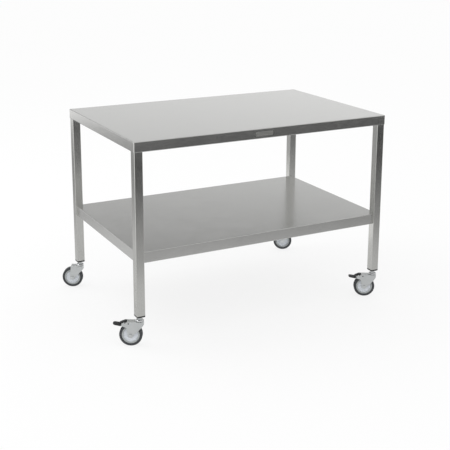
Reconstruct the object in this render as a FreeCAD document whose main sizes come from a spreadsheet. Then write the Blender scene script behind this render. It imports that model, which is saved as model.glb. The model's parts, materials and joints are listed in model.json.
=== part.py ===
import FreeCAD, Part
import os
import re
import Sketcher

# Stainless steel table on four swivel casters, with a lower shelf.
# Frame: millimetres, +X along the table, +Y to its back, +Z up.
# The origin lies on the floor under the middle of the top.

# Driving dimensions
SIZES = {
    # Top tray, folded from one sheet
    "table_length": 1265,
    "table_depth": 810,
    "table_height": 900,
    "deck_sheet": 1.5,
    "deck_rim": 45,
    "deck_lip": 14,
    "bend_radius": 3,
    "rim_gap": 0.5,
    "lip_gap": 2,
    # Legs of square tube
    "leg_tube": 38,
    "leg_wall": 1.5,
    "leg_corner": 3,
    # Shelf tray between the legs
    "shelf_height": 420,
    "shelf_sheet": 1.5,
    "shelf_rim": 50,
    "shelf_lip": 14,
    "shelf_inset": 10.3,
    # Hat sections under both trays
    "hat_spacing": 300,
    "hat_floor": 36,
    "hat_flange": 16,
    "hat_depth": 25,
    "hat_sheet": 1.5,
    "hat_end_gap": 12,
    # Bare plate on the front rim
    "badge_length": 84,
    "badge_width": 18,
    "badge_sheet": 0.6,
    "badge_shift": 18.5,
    "badge_drop": 23.5,
    # Black insert that closes each leg and holds the stem
    "insert_flange": 6,
    "insert_chamfer": 2.5,
    "insert_depth": 34,
    "insert_gap": 0.1,
    "insert_core_step": 2.2,
    "insert_fin": 3,
    "insert_fin_count": 3,
    "stem_gap": 0.05,
    # Threaded stem with its hexagon collar and kingpin
    "shank_across": 12,
    "stem_reach": 30,
    "collar_across": 19,
    "collar_height": 12,
    "kingpin_radius": 5,
    "kingpin_gap": 0.08,
    "seat_across": 10,
    "key_across": 8.4,
    "key_gap": 0.05,
    "nut_across": 15,
    "nut_height": 2.5,
    # Swivel head over the fork's crown, with its ball race
    "head_radius": 19,
    "head_height": 5.5,
    "head_slope": 3,
    "race_gap": 0.3,
    "race_height": 2.2,
    "race_inner": 10,
    "race_outer": 17,
    "ring_radius": 14.6,
    "ring_tooth": 2,
    "ring_height": 3.2,
    # Wheel
    "wheel_diameter": 100,
    "trail": 38.5,
    "trail_angle": 150.6,
    "tyre_width": 24,
    "tyre_depth": 9,
    "bond_gap": 0.04,
    "core_width": 22.6,
    "hub_radius": 12.5,
    "hub_gap": 0.3,
    "sleeve_radius": 5,
    "sleeve_fit": 0.05,
    "axle_head_key": 8.2,
    "axle_nut_key": 6.8,
    "axle_across": 13,
    "axle_head": 5.3,
    "axle_nut": 8,
    # Pressed fork
    "fork_width": 36,
    "fork_sheet": 2.5,
    "fork_edge": 4,
    "crown_clear": 7.5,
    "nose_reach": 18,
    "nose_corner": 13,
    "nose_depth": 15,
    "skirt_reach": 7,
    "skirt_depth": 42,
    "foot_radius": 12,
    "knee_reach": 8,
    "knee_depth": 22,
    "back_reach": 5,
    # Braked fork, which is longer at the back
    "brake_knee_reach": 17.5,
    "brake_knee_depth": 26,
    "tail_reach": 38,
    "tail_depth": 18,
    "tail_top": 7,
    "shoulder_reach": 28,
    "window_reach": 16,
    # Locking pedal and its pins
    "pivot_reach": 8.5,
    "pivot_drop": 7,
    "pivot_radius": 2.5,
    "pivot_key": 3.4,
    "pin_fit": 0.06,
    "brake_travel": 7,
    "arm_sheet": 2,
    "arm_gap": 0.3,
    "arm_rise": 3.9,
    "arm_shoulder": 3,
    "arm_drop": 6.4,
    "bar_front": 10,
    "bar_length": 7,
    "bar_sheet": 2.5,
    "web_front": 7,
    "web_back": 19,
    "web_drop": 1.3,
    "step_back": 30,
    "step_drop": 9.3,
    "tongue_back": 45,
    "tongue_drop": 6.8,
    "tongue_sheet": 2.5,
    "tongue_half": 9,
    "shoe_gap": 0.4,
    "shoe_width": 18,
    "shoe_front": 10,
    # Black tread of the pedal
    "tread_root": 33,
    "tread_tip": 68,
    "tread_half": 14,
    "tread_round": 11,
    "root_top_drop": 5.4,
    "root_low_drop": 13.6,
    "tip_top_rise": 0.4,
    "tip_low_drop": 6.6,
    "tread_fit": 0.1,
    # Black release lever above the pedal
    "release_reach": 15,
    "release_rise": 3.5,
    "release_pin": 2,
    "release_key": 2.7,
    "release_barrel": 4,
    "release_half": 9,
    "release_hump": 5.6,
    "release_back": 24,
    "release_end_top": 2.6,
    "release_end_low": 5.4,
    # One overrun for every cut that goes right through
    "overrun": 5,
}

# Sizes that follow from the driving ones
DERIVED = {
    "half_length": "table_length / 2",
    "half_depth": "table_depth / 2",
    "rim_overhang": "deck_sheet + rim_gap",
    "deck_under": "table_height - deck_sheet",
    "rim_bottom": "table_height - deck_rim",
    "leg_axis_x": "half_length - rim_overhang - leg_tube / 2",
    "leg_axis_y": "half_depth - rim_overhang - leg_tube / 2",
    "leg_inner_x": "leg_axis_x - leg_tube / 2",
    "leg_inner_y": "leg_axis_y - leg_tube / 2",
    "shelf_x": "half_length - rim_overhang - shelf_inset",
    "shelf_y": "half_depth - rim_overhang - shelf_inset",
    "shelf_under": "shelf_height - shelf_sheet",
    "shelf_bottom": "shelf_height - shelf_rim",
    "wheel_radius": "wheel_diameter / 2",
    "crown_under": "wheel_diameter + crown_clear",
    "crown_top": "crown_under + fork_sheet",
    "race_floor": "crown_top + race_gap",
    "head_under": "race_floor + race_height",
    "head_top": "head_under + head_height",
    "collar_top": "head_top + collar_height",
    "leg_foot": "collar_top + insert_flange",
    "ring_top": "crown_under - race_gap",
    "ring_low": "ring_top - ring_height",
    "fork_half": "fork_width / 2",
    "cheek_inner": "fork_half - fork_sheet",
    "core_radius": "wheel_radius - tyre_depth",
    "hub_half": "cheek_inner - hub_gap",
    "pivot_u": "trail + pivot_reach",
    "pivot_z": "crown_top - pivot_drop",
    "arm_outer": "cheek_inner - arm_gap",
    "arm_inner": "arm_outer - arm_sheet",
    "arm_low": "pivot_z - arm_drop",
    "web_top": "pivot_z - web_drop",
    "web_under": "web_top - arm_sheet",
    "tongue_u": "pivot_u + tongue_back",
    "tongue_top": "pivot_z - tongue_drop",
    "step_u": "pivot_u + step_back",
    "step_top": "pivot_z - step_drop",
    "release_u": "pivot_u + release_reach",
    "release_z": "pivot_z + release_rise",
    "shoe_turn_u": "(trail - pivot_u) * cos(brake_travel) - (wheel_radius - pivot_z) * sin(brake_travel)",
    "shoe_turn_z": "(trail - pivot_u) * sin(brake_travel) + (wheel_radius - pivot_z) * cos(brake_travel)",
    "shoe_centre_u": "pivot_u + shoe_turn_u",
    "shoe_centre_z": "pivot_z + shoe_turn_z",
    "shoe_arc": "wheel_radius + shoe_gap",
    "shoe_start": "pivot_u + shoe_front",
    "shoe_end": "pivot_u + web_back",
}

CORNERS = {
    "front_left": (-1, -1),
    "front_right": (1, -1),
    "back_left": (-1, 1),
    "back_right": (1, 1),
}
BRAKED = ("front_left", "front_right")
BALL_COUNT = 10
TOOTH_COUNT = 12
SEAT_COUNT = 20
HUB_COUNT = 12
BEND_COUNT = 4
BARREL_COUNT = 12

doc = FreeCAD.newDocument("steel_table")
sheet = doc.addObject("Spreadsheet::Sheet", "sizes")
for row, (alias, value) in enumerate(SIZES.items(), start=1):
    sheet.set(f"A{row}", alias)
    sheet.set(f"B{row}", str(value))
    sheet.setAlias(f"B{row}", alias)
doc.recompute()

WORD = re.compile(r"[a-z_]+")
parts = []


def formula(text):
    """Write a rule in plain size names as an expression on the sheet's cells."""
    def replace(match):
        word = match.group(0)
        if word in DERIVED:
            return "(" + formula(DERIVED[word]) + ")"
        if word in SIZES:
            return "sizes." + word
        return word
    return WORD.sub(replace, text)


def value(text):
    """The number that a rule gives now."""
    return float(sheet.evalExpression(formula(text)))


def plane(body, role):
    """One of the body's own origin planes."""
    return next(item for item in body.Origin.OriginFeatures if item.Role == role)


def new_body(name, corner=None, turned=True):
    """A body in the table's frame or at a corner, where it may turn as the caster trails."""
    body = doc.addObject("PartDesign::Body", name)
    body.Label = name
    if corner:
        side_x, side_y = CORNERS[corner]
        body.Placement = FreeCAD.Placement(
            FreeCAD.Vector(), FreeCAD.Rotation(FreeCAD.Vector(0, 0, 1), 0))
        body.setExpression(".Placement.Base.x", formula(f"{side_x} * leg_axis_x"))
        body.setExpression(".Placement.Base.y", formula(f"{side_y} * leg_axis_y"))
        if turned:
            body.setExpression(".Placement.Rotation.Angle", formula("trail_angle"))
    return body


def bind(sketch, constraint, rule):
    """Add a constraint whose value follows the sheet."""
    index = sketch.addConstraint(constraint)
    sketch.setExpression(f"Constraints[{index}]", formula(rule))


def arc_through(start, end, radius, turn):
    """The arc from start to end, turning left with turn 1 and right with turn -1."""
    chord = end - start
    rise = max(radius ** 2 - (chord.Length / 2) ** 2, 0) ** 0.5
    left = FreeCAD.Vector(-chord.y, chord.x, 0).normalize()
    centre = (start + end) / 2 + left * rise * turn
    middle = centre - left * radius * turn
    return Part.Arc(start, middle, end)


def outline(body, name, role, loops, at=None):
    """A sketch of closed loops, each a list of corners in plain size names.

    A corner is (x, y), or (x, y, radius, turn) where an arc leads to the next corner.
    A loop ("circle", x, y, radius) is a full circle.
    """
    sketch = body.newObject("Sketcher::SketchObject", name)
    sketch.AttachmentSupport = [(plane(body, role), "")]
    sketch.MapMode = "FlatFace"
    for axis, rule in zip("xyz", at or ()):
        sketch.setExpression(f"AttachmentOffset.Base.{axis}", formula(rule))
    for loop in loops:
        if loop[0] == "circle":
            add_circle(sketch, *loop[1:])
        else:
            add_loop(sketch, loop)
    return sketch


def add_circle(sketch, x_rule, y_rule, radius_rule):
    centre = FreeCAD.Vector(value(x_rule), value(y_rule), 0)
    index = sketch.addGeometry(Part.Circle(centre, FreeCAD.Vector(0, 0, 1), value(radius_rule)), False)
    bind(sketch, Sketcher.Constraint("DistanceX", -1, 1, index, 3, centre.x), x_rule)
    bind(sketch, Sketcher.Constraint("DistanceY", -1, 1, index, 3, centre.y), y_rule)
    bind(sketch, Sketcher.Constraint("Radius", index, value(radius_rule)), radius_rule)


def add_loop(sketch, loop):
    points = [FreeCAD.Vector(value(corner[0]), value(corner[1]), 0) for corner in loop]
    ends = []
    for corner, start, end in zip(loop, points, points[1:] + points[:1]):
        if len(corner) == 2:
            index = sketch.addGeometry(Part.LineSegment(start, end), False)
            ends.append((index, 1, 2))
            continue
        radius_rule, turn = corner[2:]
        arc = arc_through(start, end, value(radius_rule), turn)
        index = sketch.addGeometry(arc, False)
        ends.append((index, 1, 2) if turn > 0 else (index, 2, 1))
        bind(sketch, Sketcher.Constraint("Radius", index, value(radius_rule)), radius_rule)
    for (index, first, last), (following, next_first, next_last) in zip(ends, ends[1:] + ends[:1]):
        sketch.addConstraint(Sketcher.Constraint("Coincident", index, last, following, next_first))
    for corner, point, (index, first, last) in zip(loop, points, ends):
        bind(sketch, Sketcher.Constraint("DistanceX", -1, 1, index, first, point.x), corner[0])
        bind(sketch, Sketcher.Constraint("DistanceY", -1, 1, index, first, point.y), corner[1])


def pad(body, profile, length, both_ways=False, backwards=False):
    feature = body.newObject("PartDesign::Pad", profile.Name + "_pad")
    feature.Profile = profile
    feature.setExpression("Length", formula(length))
    feature.Midplane = both_ways
    feature.Reversed = backwards
    doc.recompute()
    return feature


def pocket(body, profile, length, both_ways=False, backwards=False):
    """A cut, which must take something away."""
    before = body.Shape.Volume
    feature = body.newObject("PartDesign::Pocket", profile.Name + "_pocket")
    feature.Profile = profile
    feature.setExpression("Length", formula(length))
    feature.Midplane = both_ways
    feature.Reversed = backwards
    doc.recompute()
    if not body.Shape.Volume < before:
        raise RuntimeError(profile.Name + " cuts nothing")
    return feature


def edges_where(feature, test):
    """Names of the edges whose two ends and middle all pass the test."""
    names = []
    for number, edge in enumerate(feature.Shape.Edges, start=1):
        middle = edge.valueAt((edge.FirstParameter + edge.LastParameter) / 2)
        ends = [vertex.Point for vertex in edge.Vertexes]
        if all(test(point) for point in ends + [middle]):
            names.append(f"Edge{number}")
    return names


def soften(body, feature, test, radius, kind="Fillet"):
    """Round or chamfer the edges that pass the test."""
    names = edges_where(feature, test)
    if not names:
        raise RuntimeError(body.Label + " has no such edge")
    result = body.newObject("PartDesign::" + kind, feature.Name + "_" + kind.lower())
    result.Base = (feature, names)
    result.setExpression("Radius" if kind == "Fillet" else "Size", formula(radius))
    doc.recompute()
    return result


def near(number, rule):
    """Whether a coordinate lies where a rule says, within the kernel's own fuzz."""
    return abs(number - value(rule)) < Part.Precision.confusion() * 10


def keep(item, name):
    """Name a finished piece and put it on the list that is written out."""
    item.Label = name
    parts.append(item)
    return item


def mirrored_group(name, first, both_rows=True):
    """One piece at the front left corner and its copies at the other corners."""
    links = [first]
    normals = [FreeCAD.Vector(1, 0, 0)]
    if both_rows:
        normals.append(FreeCAD.Vector(0, 1, 0))
    for normal in normals:
        copies = []
        for link in links:
            copy = doc.addObject("Part::Mirroring", link.Name + "_copy")
            copy.Source = link
            copy.Normal = normal
            copies.append(copy)
        links = links + copies
    group = doc.addObject("Part::Compound", name)
    group.Links = links
    return keep(group, name)


def rectangle(x_low, x_high, y_low, y_high):
    return [(x_low, y_low), (x_high, y_low), (x_high, y_high), (x_low, y_high)]


def rounded_square(half, radius):
    near_side, far_side = f"-({half}) + ({radius})", f"({half}) - ({radius})"
    low, high = f"-({half})", half
    return [
        (near_side, low), (far_side, low, radius, 1),
        (high, near_side), (high, far_side, radius, 1),
        (far_side, high), (near_side, high, radius, 1),
        (low, far_side), (low, near_side, radius, 1),
    ]


def hexagon(across, x_rule="0", y_rule="0"):
    corner, half = f"{across} / sqrt(3)", f"{across} / 2"
    steps = [
        (corner, "0"), (f"{corner} / 2", half), (f"-{corner} / 2", half),
        (f"-{corner}", "0"), (f"-{corner} / 2", f"-{half}"), (f"{corner} / 2", f"-{half}"),
    ]
    return [(f"{x_rule} + ({x})", f"{y_rule} + ({y})") for x, y in steps]


def bend(x_rule, y_rule, radius, start, sweep, count):
    """The corners of a bend made of even flats, from one angle over a sweep."""
    corners = []
    for index in range(count + 1):
        turn = f"({start} + {index} * {sweep} / {count})"
        corners.append((f"{x_rule} + ({radius}) * cos({turn})", f"{y_rule} + ({radius}) * sin({turn})"))
    return corners


def even_sides(radius, count, x_rule="0", y_rule="0"):
    """A regular polygon with its corners at the radius."""
    return bend(x_rule, y_rule, radius, 0, 360, count)[:-1]


def square_at(across, x_rule, y_rule):
    return rectangle(f"{x_rule} - {across} / 2", f"{x_rule} + {across} / 2",
                     f"{y_rule} - {across} / 2", f"{y_rule} + {across} / 2")


def star(tip_radius, root_radius, count):
    """A toothed outline, each tooth as wide at its tip as the space beside it."""
    corners = []
    for index in range(count):
        for place, radius in ((-1, root_radius), (-1, tip_radius), (1, tip_radius), (1, root_radius)):
            turn = f"({index} + {place} / 4) * 360 / {count}"
            corners.append((f"({radius}) * cos({turn})", f"({radius}) * sin({turn})"))
    return corners


def cross(x_far, y_far, x_notch, y_notch):
    """A rectangle with a square notch at each corner."""
    quarter = [(x_far, y_notch), (x_notch, y_notch), (x_notch, y_far)]
    turned = []
    for side_x, side_y, order in ((1, 1, 1), (-1, 1, -1), (-1, -1, 1), (1, -1, -1)):
        turned += [(f"{side_x} * ({x})", f"{side_y} * ({y})") for x, y in quarter[::order]]
    return turned


def lip_throat(x_far, y_far, lip, x_leg, y_leg):
    """The opening inside the turned-in lips, which stop short of the legs."""
    quarter = [
        (f"{x_far} - {lip}", y_leg), (x_far, y_leg), (x_far, y_far),
        (x_leg, y_far), (x_leg, f"{y_far} - {lip}"),
    ]
    turned = []
    for side_x, side_y, order in ((1, 1, 1), (-1, 1, -1), (-1, -1, 1), (1, -1, -1)):
        turned += [(f"{side_x} * ({x})", f"{side_y} * ({y})") for x, y in quarter[::order]]
    return turned


# Top tray: a deck, four rims and the lips turned in under them
def make_top_tray():
    body = new_body("top_tray")
    block = outline(body, "deck_block", "XY_Plane", [
        rectangle("-half_length", "half_length", "-half_depth", "half_depth")], ("0", "0", "rim_bottom"))
    solid = pad(body, block, "deck_rim")
    soften(body, solid, lambda p: near(p.z, "table_height"), "bend_radius")
    hollow = outline(body, "deck_hollow", "XY_Plane", [rectangle(
        "-half_length + deck_sheet", "half_length - deck_sheet",
        "-half_depth + deck_sheet", "half_depth - deck_sheet")], ("0", "0", "rim_bottom + deck_sheet"))
    pocket(body, hollow, "deck_rim - 2 * deck_sheet", backwards=True)
    throat = outline(body, "deck_throat", "XY_Plane", [lip_throat(
        "half_length - deck_sheet", "half_depth - deck_sheet", "deck_lip",
        "leg_inner_x - lip_gap", "leg_inner_y - lip_gap")], ("0", "0", "rim_bottom"))
    pocket(body, throat, "deck_sheet", backwards=True)
    keep(body, "top_tray")


# Shelf tray: notched round the legs, its rims running from leg to leg
def make_shelf_tray():
    body = new_body("shelf_tray")
    block = outline(body, "shelf_block", "XY_Plane", [
        cross("shelf_x", "shelf_y", "leg_inner_x", "leg_inner_y")], ("0", "0", "shelf_bottom"))
    solid = pad(body, block, "shelf_rim")
    side = lambda p: near(abs(p.x), "shelf_x") or near(abs(p.y), "shelf_y")
    soften(body, solid, lambda p: side(p) and near(p.z, "shelf_height"), "bend_radius")
    hollow = outline(body, "shelf_hollow", "XY_Plane", [cross(
        "shelf_x - shelf_sheet", "shelf_y - shelf_sheet",
        "leg_inner_x", "leg_inner_y")], ("0", "0", "shelf_bottom + shelf_sheet"))
    pocket(body, hollow, "shelf_rim - 2 * shelf_sheet", backwards=True)
    throat = outline(body, "shelf_throat", "XY_Plane", [cross(
        "shelf_x - shelf_sheet - shelf_lip", "shelf_y - shelf_sheet - shelf_lip",
        "leg_inner_x", "leg_inner_y")], ("0", "0", "shelf_bottom"))
    pocket(body, throat, "shelf_sheet", backwards=True)
    keep(body, "shelf_tray")


# Hat sections: two stiffeners along each tray, flanges up against the deck
def make_stiffeners(name, under, length):
    body = new_body(name)
    middle, foot = "hat_spacing / 2", "hat_floor / 2"
    wide = "(hat_floor / 2 + hat_flange)"
    low = f"{under} - hat_depth"
    shape = [
        (f"{middle} - {wide}", under), (f"{middle} - {wide}", f"{under} - hat_sheet"),
        (f"{middle} - {foot}", f"{under} - hat_sheet"), (f"{middle} - {foot}", low),
        (f"{middle} + {foot}", low), (f"{middle} + {foot}", f"{under} - hat_sheet"),
        (f"{middle} + {wide}", f"{under} - hat_sheet"), (f"{middle} + {wide}", under),
        (f"{middle} + {foot} - hat_sheet", under), (f"{middle} + {foot} - hat_sheet", f"{low} + hat_sheet"),
        (f"{middle} - {foot} + hat_sheet", f"{low} + hat_sheet"), (f"{middle} - {foot} + hat_sheet", under),
    ]
    section = outline(body, name + "_section", "YZ_Plane", [shape])
    bar = pad(body, section, length, both_ways=True)
    pair = body.newObject("PartDesign::Mirrored", name + "_pair")
    pair.Originals = [bar]
    pair.MirrorPlane = (plane(body, "XZ_Plane"), [""])
    body.Tip = pair
    keep(body, name)


# Leg: square tube from the insert up to the underside of the deck
def make_leg(corner):
    body = new_body("leg_" + corner, corner, turned=False)
    inside = "leg_tube / 2 - leg_wall"
    section = outline(body, "tube_" + corner, "XY_Plane", [
        rounded_square("leg_tube / 2", "leg_corner"),
        rectangle(f"-({inside})", inside, f"-({inside})", inside)], ("0", "0", "leg_foot"))
    pad(body, section, "deck_under - leg_foot")
    keep(body, "leg_" + corner)


# Bare plate on the front rim
def make_badge_plate():
    body = new_body("badge_plate")
    plate = outline(body, "badge_outline", "XZ_Plane", [rectangle(
        "-badge_shift - badge_length / 2", "-badge_shift + badge_length / 2",
        "table_height - badge_drop - badge_width / 2",
        "table_height - badge_drop + badge_width / 2")], ("0", "0", "half_depth"))
    pad(body, plate, "badge_sheet")
    keep(body, "badge_plate")


# Leg inserts: a chamfered flange below the tube and a ribbed plug inside it
def make_leg_inserts():
    body = new_body("leg_insert", "front_left", turned=False)
    square = lambda half: rectangle(f"-({half})", half, f"-({half})", half)
    flange = outline(body, "insert_flange_outline", "XY_Plane", [
        square("leg_tube / 2")], ("0", "0", "collar_top"))
    solid = pad(body, flange, "insert_flange")
    upright = lambda p: near(abs(p.x), "leg_tube / 2") and near(abs(p.y), "leg_tube / 2")
    solid = soften(body, solid, upright, "insert_chamfer", "Chamfer")
    soften(body, solid, lambda p: near(p.z, "collar_top"), "insert_chamfer", "Chamfer")
    fit = "(leg_tube / 2 - leg_wall - insert_gap)"
    core = outline(body, "insert_core", "XY_Plane", [
        square(f"{fit} - insert_core_step")], ("0", "0", "leg_foot"))
    pad(body, core, "insert_depth")
    fin = outline(body, "insert_fin_outline", "XY_Plane", [square(fit)], ("0", "0", "leg_foot"))
    first = pad(body, fin, "insert_fin")
    fins = body.newObject("PartDesign::LinearPattern", "insert_fins")
    fins.Originals = [first]
    fins.Direction = (plane(body, "Z_Axis"), [""])
    fins.setExpression("Length", formula("insert_depth - insert_fin"))
    fins.setExpression("Occurrences", formula("insert_fin_count"))
    body.Tip = fins
    doc.recompute()
    bore = outline(body, "insert_bore", "XY_Plane", [
        hexagon("(shank_across + 2 * stem_gap)")], ("0", "0", "collar_top"))
    pocket(body, bore, "stem_reach + race_gap", backwards=True)
    mirrored_group("leg_inserts", body)


# Caster stems: hexagonal shank, collar, seat of the cap, round kingpin, seat of the ring, nut
def make_caster_stems():
    body = new_body("caster_stem", "front_left", turned=False)
    for name, shape, start, length in (
            ("stem_nut", hexagon("nut_across"), "ring_low - nut_height", "nut_height"),
            ("stem_key", hexagon("key_across"), "ring_low", "ring_height"),
            ("kingpin", ("circle", "0", "0", "kingpin_radius"), "ring_top", "race_floor - ring_top"),
            ("stem_seat", hexagon("seat_across"), "race_floor", "head_top - race_floor"),
            ("stem_collar", hexagon("collar_across"), "head_top", "collar_height"),
            ("stem_shank", hexagon("shank_across"), "collar_top", "stem_reach")):
        step = outline(body, name, "XY_Plane", [shape], ("0", "0", start))
        pad(body, step, length)
    mirrored_group("caster_stems", body)


# Swivel heads: the caps that the stems hold over the balls
def make_swivel_heads():
    body = new_body("swivel_head", "front_left", turned=False)
    disc = outline(body, "head_outline", "XY_Plane", [
        ("circle", "0", "0", "head_radius"),
        hexagon("(seat_across + 2 * key_gap)")], ("0", "0", "head_under"))
    solid = pad(body, disc, "head_height")
    at_rim = lambda p: near(p.z, "head_top") and near(p.x ** 2 + p.y ** 2, "head_radius ^ 2")
    soften(body, solid, at_rim, "head_slope", "Chamfer")
    mirrored_group("swivel_heads", body)


# Ball races: the row of balls under each cap, as one ring with a flat for each ball
def make_ball_races():
    body = new_body("ball_race", "front_left", turned=False)
    row = outline(body, "race_outline", "XY_Plane", [
        even_sides("race_outer", BALL_COUNT), even_sides("race_inner", BALL_COUNT)], ("0", "0", "head_under"))
    pad(body, row, "race_height", backwards=True)
    mirrored_group("ball_races", body)


# Lock rings: toothed under the braked crowns, keyed to the stem, met by the pedal's bar
def make_lock_rings():
    body = new_body("lock_ring", "front_left", turned=False)
    disc = outline(body, "ring_outline", "XY_Plane", [
        star("ring_radius", "ring_radius - ring_tooth", TOOTH_COUNT),
        hexagon("(key_across + 2 * key_gap)")], ("0", "0", "ring_low"))
    pad(body, disc, "ring_height")
    mirrored_group("lock_rings", body, both_rows=False)


# Race washers: hexagonal, in the same place on the two casters without a brake
def make_race_washers():
    body = new_body("race_washer", "back_left", turned=False)
    flats = outline(body, "washer_outline", "XY_Plane", [
        hexagon("nut_across"), hexagon("(key_across + 2 * key_gap)")], ("0", "0", "ring_low"))
    pad(body, flats, "ring_height")
    mirrored_group("race_washers", body, both_rows=False)


# Fork: side outlines of the two kinds, from the nose round to the back of the crown
def fork_outline(braked):
    front = [
        ("-nose_reach", "crown_top"), ("-nose_reach", "crown_top - nose_depth"),
        ("skirt_reach", "crown_top - skirt_depth"),
    ] + bend("trail", "wheel_radius", "foot_radius", 180, 180, 2 * BEND_COUNT)
    if braked:
        return front + [
            ("trail + brake_knee_reach", "crown_top - brake_knee_depth"),
            ("trail + tail_reach", "crown_top - tail_depth"),
            ("trail + tail_reach", "crown_top - tail_top"),
            ("trail + shoulder_reach", "crown_top"),
        ]
    return front + [
        ("trail + knee_reach", "crown_top - knee_depth"),
        ("trail + back_reach", "crown_top"),
    ]


# Fork: one pressing with a crown, a wrapped nose and two cheeks
def make_fork(corner):
    braked = corner in BRAKED
    body = new_body("fork_" + corner, corner)
    side = outline(body, "fork_side_" + corner, "XZ_Plane", [fork_outline(braked)])
    pad(body, side, "fork_width", both_ways=True)
    nose, flank = "-nose_reach + nose_corner", "fork_half - nose_corner"
    past_x, past_y = "-nose_reach - overrun", "(fork_half + overrun)"
    low = bend(nose, f"-({flank})", "nose_corner", 180, 90, BEND_COUNT)
    high = bend(nose, flank, "nose_corner", 90, 90, BEND_COUNT)
    corners = outline(body, "fork_nose_" + corner, "XY_Plane", [
        low + [(nose, f"-{past_y}"), (past_x, f"-{past_y}"), (past_x, f"-({flank})")],
        high + [(past_x, flank), (past_x, past_y), (nose, past_y)]], ("0", "0", "crown_top"))
    solid = pocket(body, corners, "crown_top")
    back = "trail + shoulder_reach" if braked else "trail + back_reach"
    on_top = lambda p: near(p.z, "crown_top") and (not near(p.x, back) or near(abs(p.y), "fork_half"))
    soften(body, solid, on_top, "fork_edge", "Chamfer")
    reach = "trail + tail_reach + overrun"
    hollow = outline(body, "fork_hollow_" + corner, "XY_Plane", [
        bend(nose, f"-({flank})", "nose_corner - fork_sheet", 180, 90, BEND_COUNT)
        + [(reach, "-cheek_inner"), (reach, "cheek_inner")]
        + bend(nose, flank, "nose_corner - fork_sheet", 90, 90, BEND_COUNT)], ("0", "0", "crown_under"))
    pocket(body, hollow, "crown_under")
    for name, key, start in (("head", "axle_head_key", "-fork_half"), ("nut", "axle_nut_key", "cheek_inner")):
        hole = outline(body, f"fork_{name}_hole_{corner}", "XZ_Plane", [
            hexagon(f"({key} + 2 * key_gap)", "trail", "wheel_radius")], ("0", "0", start))
        pocket(body, hole, "fork_sheet", backwards=True)
    kingpin = outline(body, "fork_kingpin_" + corner, "XY_Plane", [
        ("circle", "0", "0", "kingpin_radius + kingpin_gap")], ("0", "0", "crown_top"))
    pocket(body, kingpin, "fork_sheet")
    if braked:
        window = outline(body, "fork_window_" + corner, "XY_Plane", [rectangle(
            "trail + window_reach", reach, "-cheek_inner", "cheek_inner")], ("0", "0", "crown_top"))
        pocket(body, window, "fork_sheet")
        pins = outline(body, "fork_pins_" + corner, "XZ_Plane", [
            square_at("(pivot_key + 2 * key_gap)", "pivot_u", "pivot_z"),
            square_at("(release_key + 2 * key_gap)", "release_u", "release_z")])
        pocket(body, pins, "fork_width + overrun", both_ways=True)
    keep(body, "fork_" + corner)


# Tyre: round outside, moulded over the many flats of its core
def make_tyre(corner):
    body = new_body("tyre_" + corner, corner)
    ring = outline(body, "tyre_outline_" + corner, "XZ_Plane", [
        ("circle", "trail", "wheel_radius", "wheel_radius"),
        even_sides("(core_radius + bond_gap)", SEAT_COUNT, "trail", "wheel_radius")])
    pad(body, ring, "tyre_width", both_ways=True)
    keep(body, "tyre_" + corner)


# Wheel core: a disc with the longer hub that turns on the bolt's sleeve
def make_wheel_core(corner):
    body = new_body("wheel_core_" + corner, corner)
    disc = outline(body, "core_disc_" + corner, "XZ_Plane", [
        even_sides("core_radius", SEAT_COUNT, "trail", "wheel_radius")])
    pad(body, disc, "core_width", both_ways=True)
    hub = outline(body, "core_hub_" + corner, "XZ_Plane", [
        even_sides("hub_radius", HUB_COUNT, "trail", "wheel_radius")])
    pad(body, hub, "2 * hub_half", both_ways=True)
    bore = outline(body, "core_bore_" + corner, "XZ_Plane", [
        ("circle", "trail", "wheel_radius", "sleeve_radius + sleeve_fit")])
    pocket(body, bore, "fork_width", both_ways=True)
    keep(body, "wheel_core_" + corner)


# Axle bolt: head, hexagonal seats in the cheeks, the sleeve held between them, and the nut
def make_axle_bolt(corner):
    body = new_body("axle_bolt_" + corner, corner)
    at_axle = lambda across: hexagon(across, "trail", "wheel_radius")
    for name, shape, start, length in (
            ("bolt_head_", at_axle("axle_across"), "-fork_half - axle_head", "axle_head"),
            ("bolt_head_seat_", at_axle("axle_head_key"), "-fork_half", "fork_sheet"),
            ("bolt_sleeve_", ("circle", "trail", "wheel_radius", "sleeve_radius"),
             "-cheek_inner", "2 * cheek_inner"),
            ("bolt_nut_seat_", at_axle("axle_nut_key"), "cheek_inner", "fork_sheet"),
            ("bolt_nut_", at_axle("axle_across"), "fork_half", "axle_nut")):
        step = outline(body, name + corner, "XZ_Plane", [shape], ("0", "0", start))
        pad(body, step, length)
    keep(body, "axle_bolt_" + corner)


# Brake pins: round between the cheeks, with square ends set flush into them
def make_brake_pins(corner):
    pins = []
    for name, place_u, place_z, radius, key in (
            ("pivot_pin_", "pivot_u", "pivot_z", "pivot_radius", "pivot_key"),
            ("release_pin_", "release_u", "release_z", "release_pin", "release_key")):
        pin = new_body(name + corner, corner)
        core = outline(pin, name + "core_" + corner, "XZ_Plane", [("circle", place_u, place_z, radius)])
        pad(pin, core, "2 * cheek_inner", both_ways=True)
        ends = outline(pin, name + "ends_" + corner, "XZ_Plane", [square_at(key, place_u, place_z)])
        pad(pin, ends, "fork_width", both_ways=True)
        pins.append(pin)
    pair = doc.addObject("Part::Compound", "brake_pins_" + corner)
    pair.Links = pins
    keep(pair, "brake_pins_" + corner)


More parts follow.
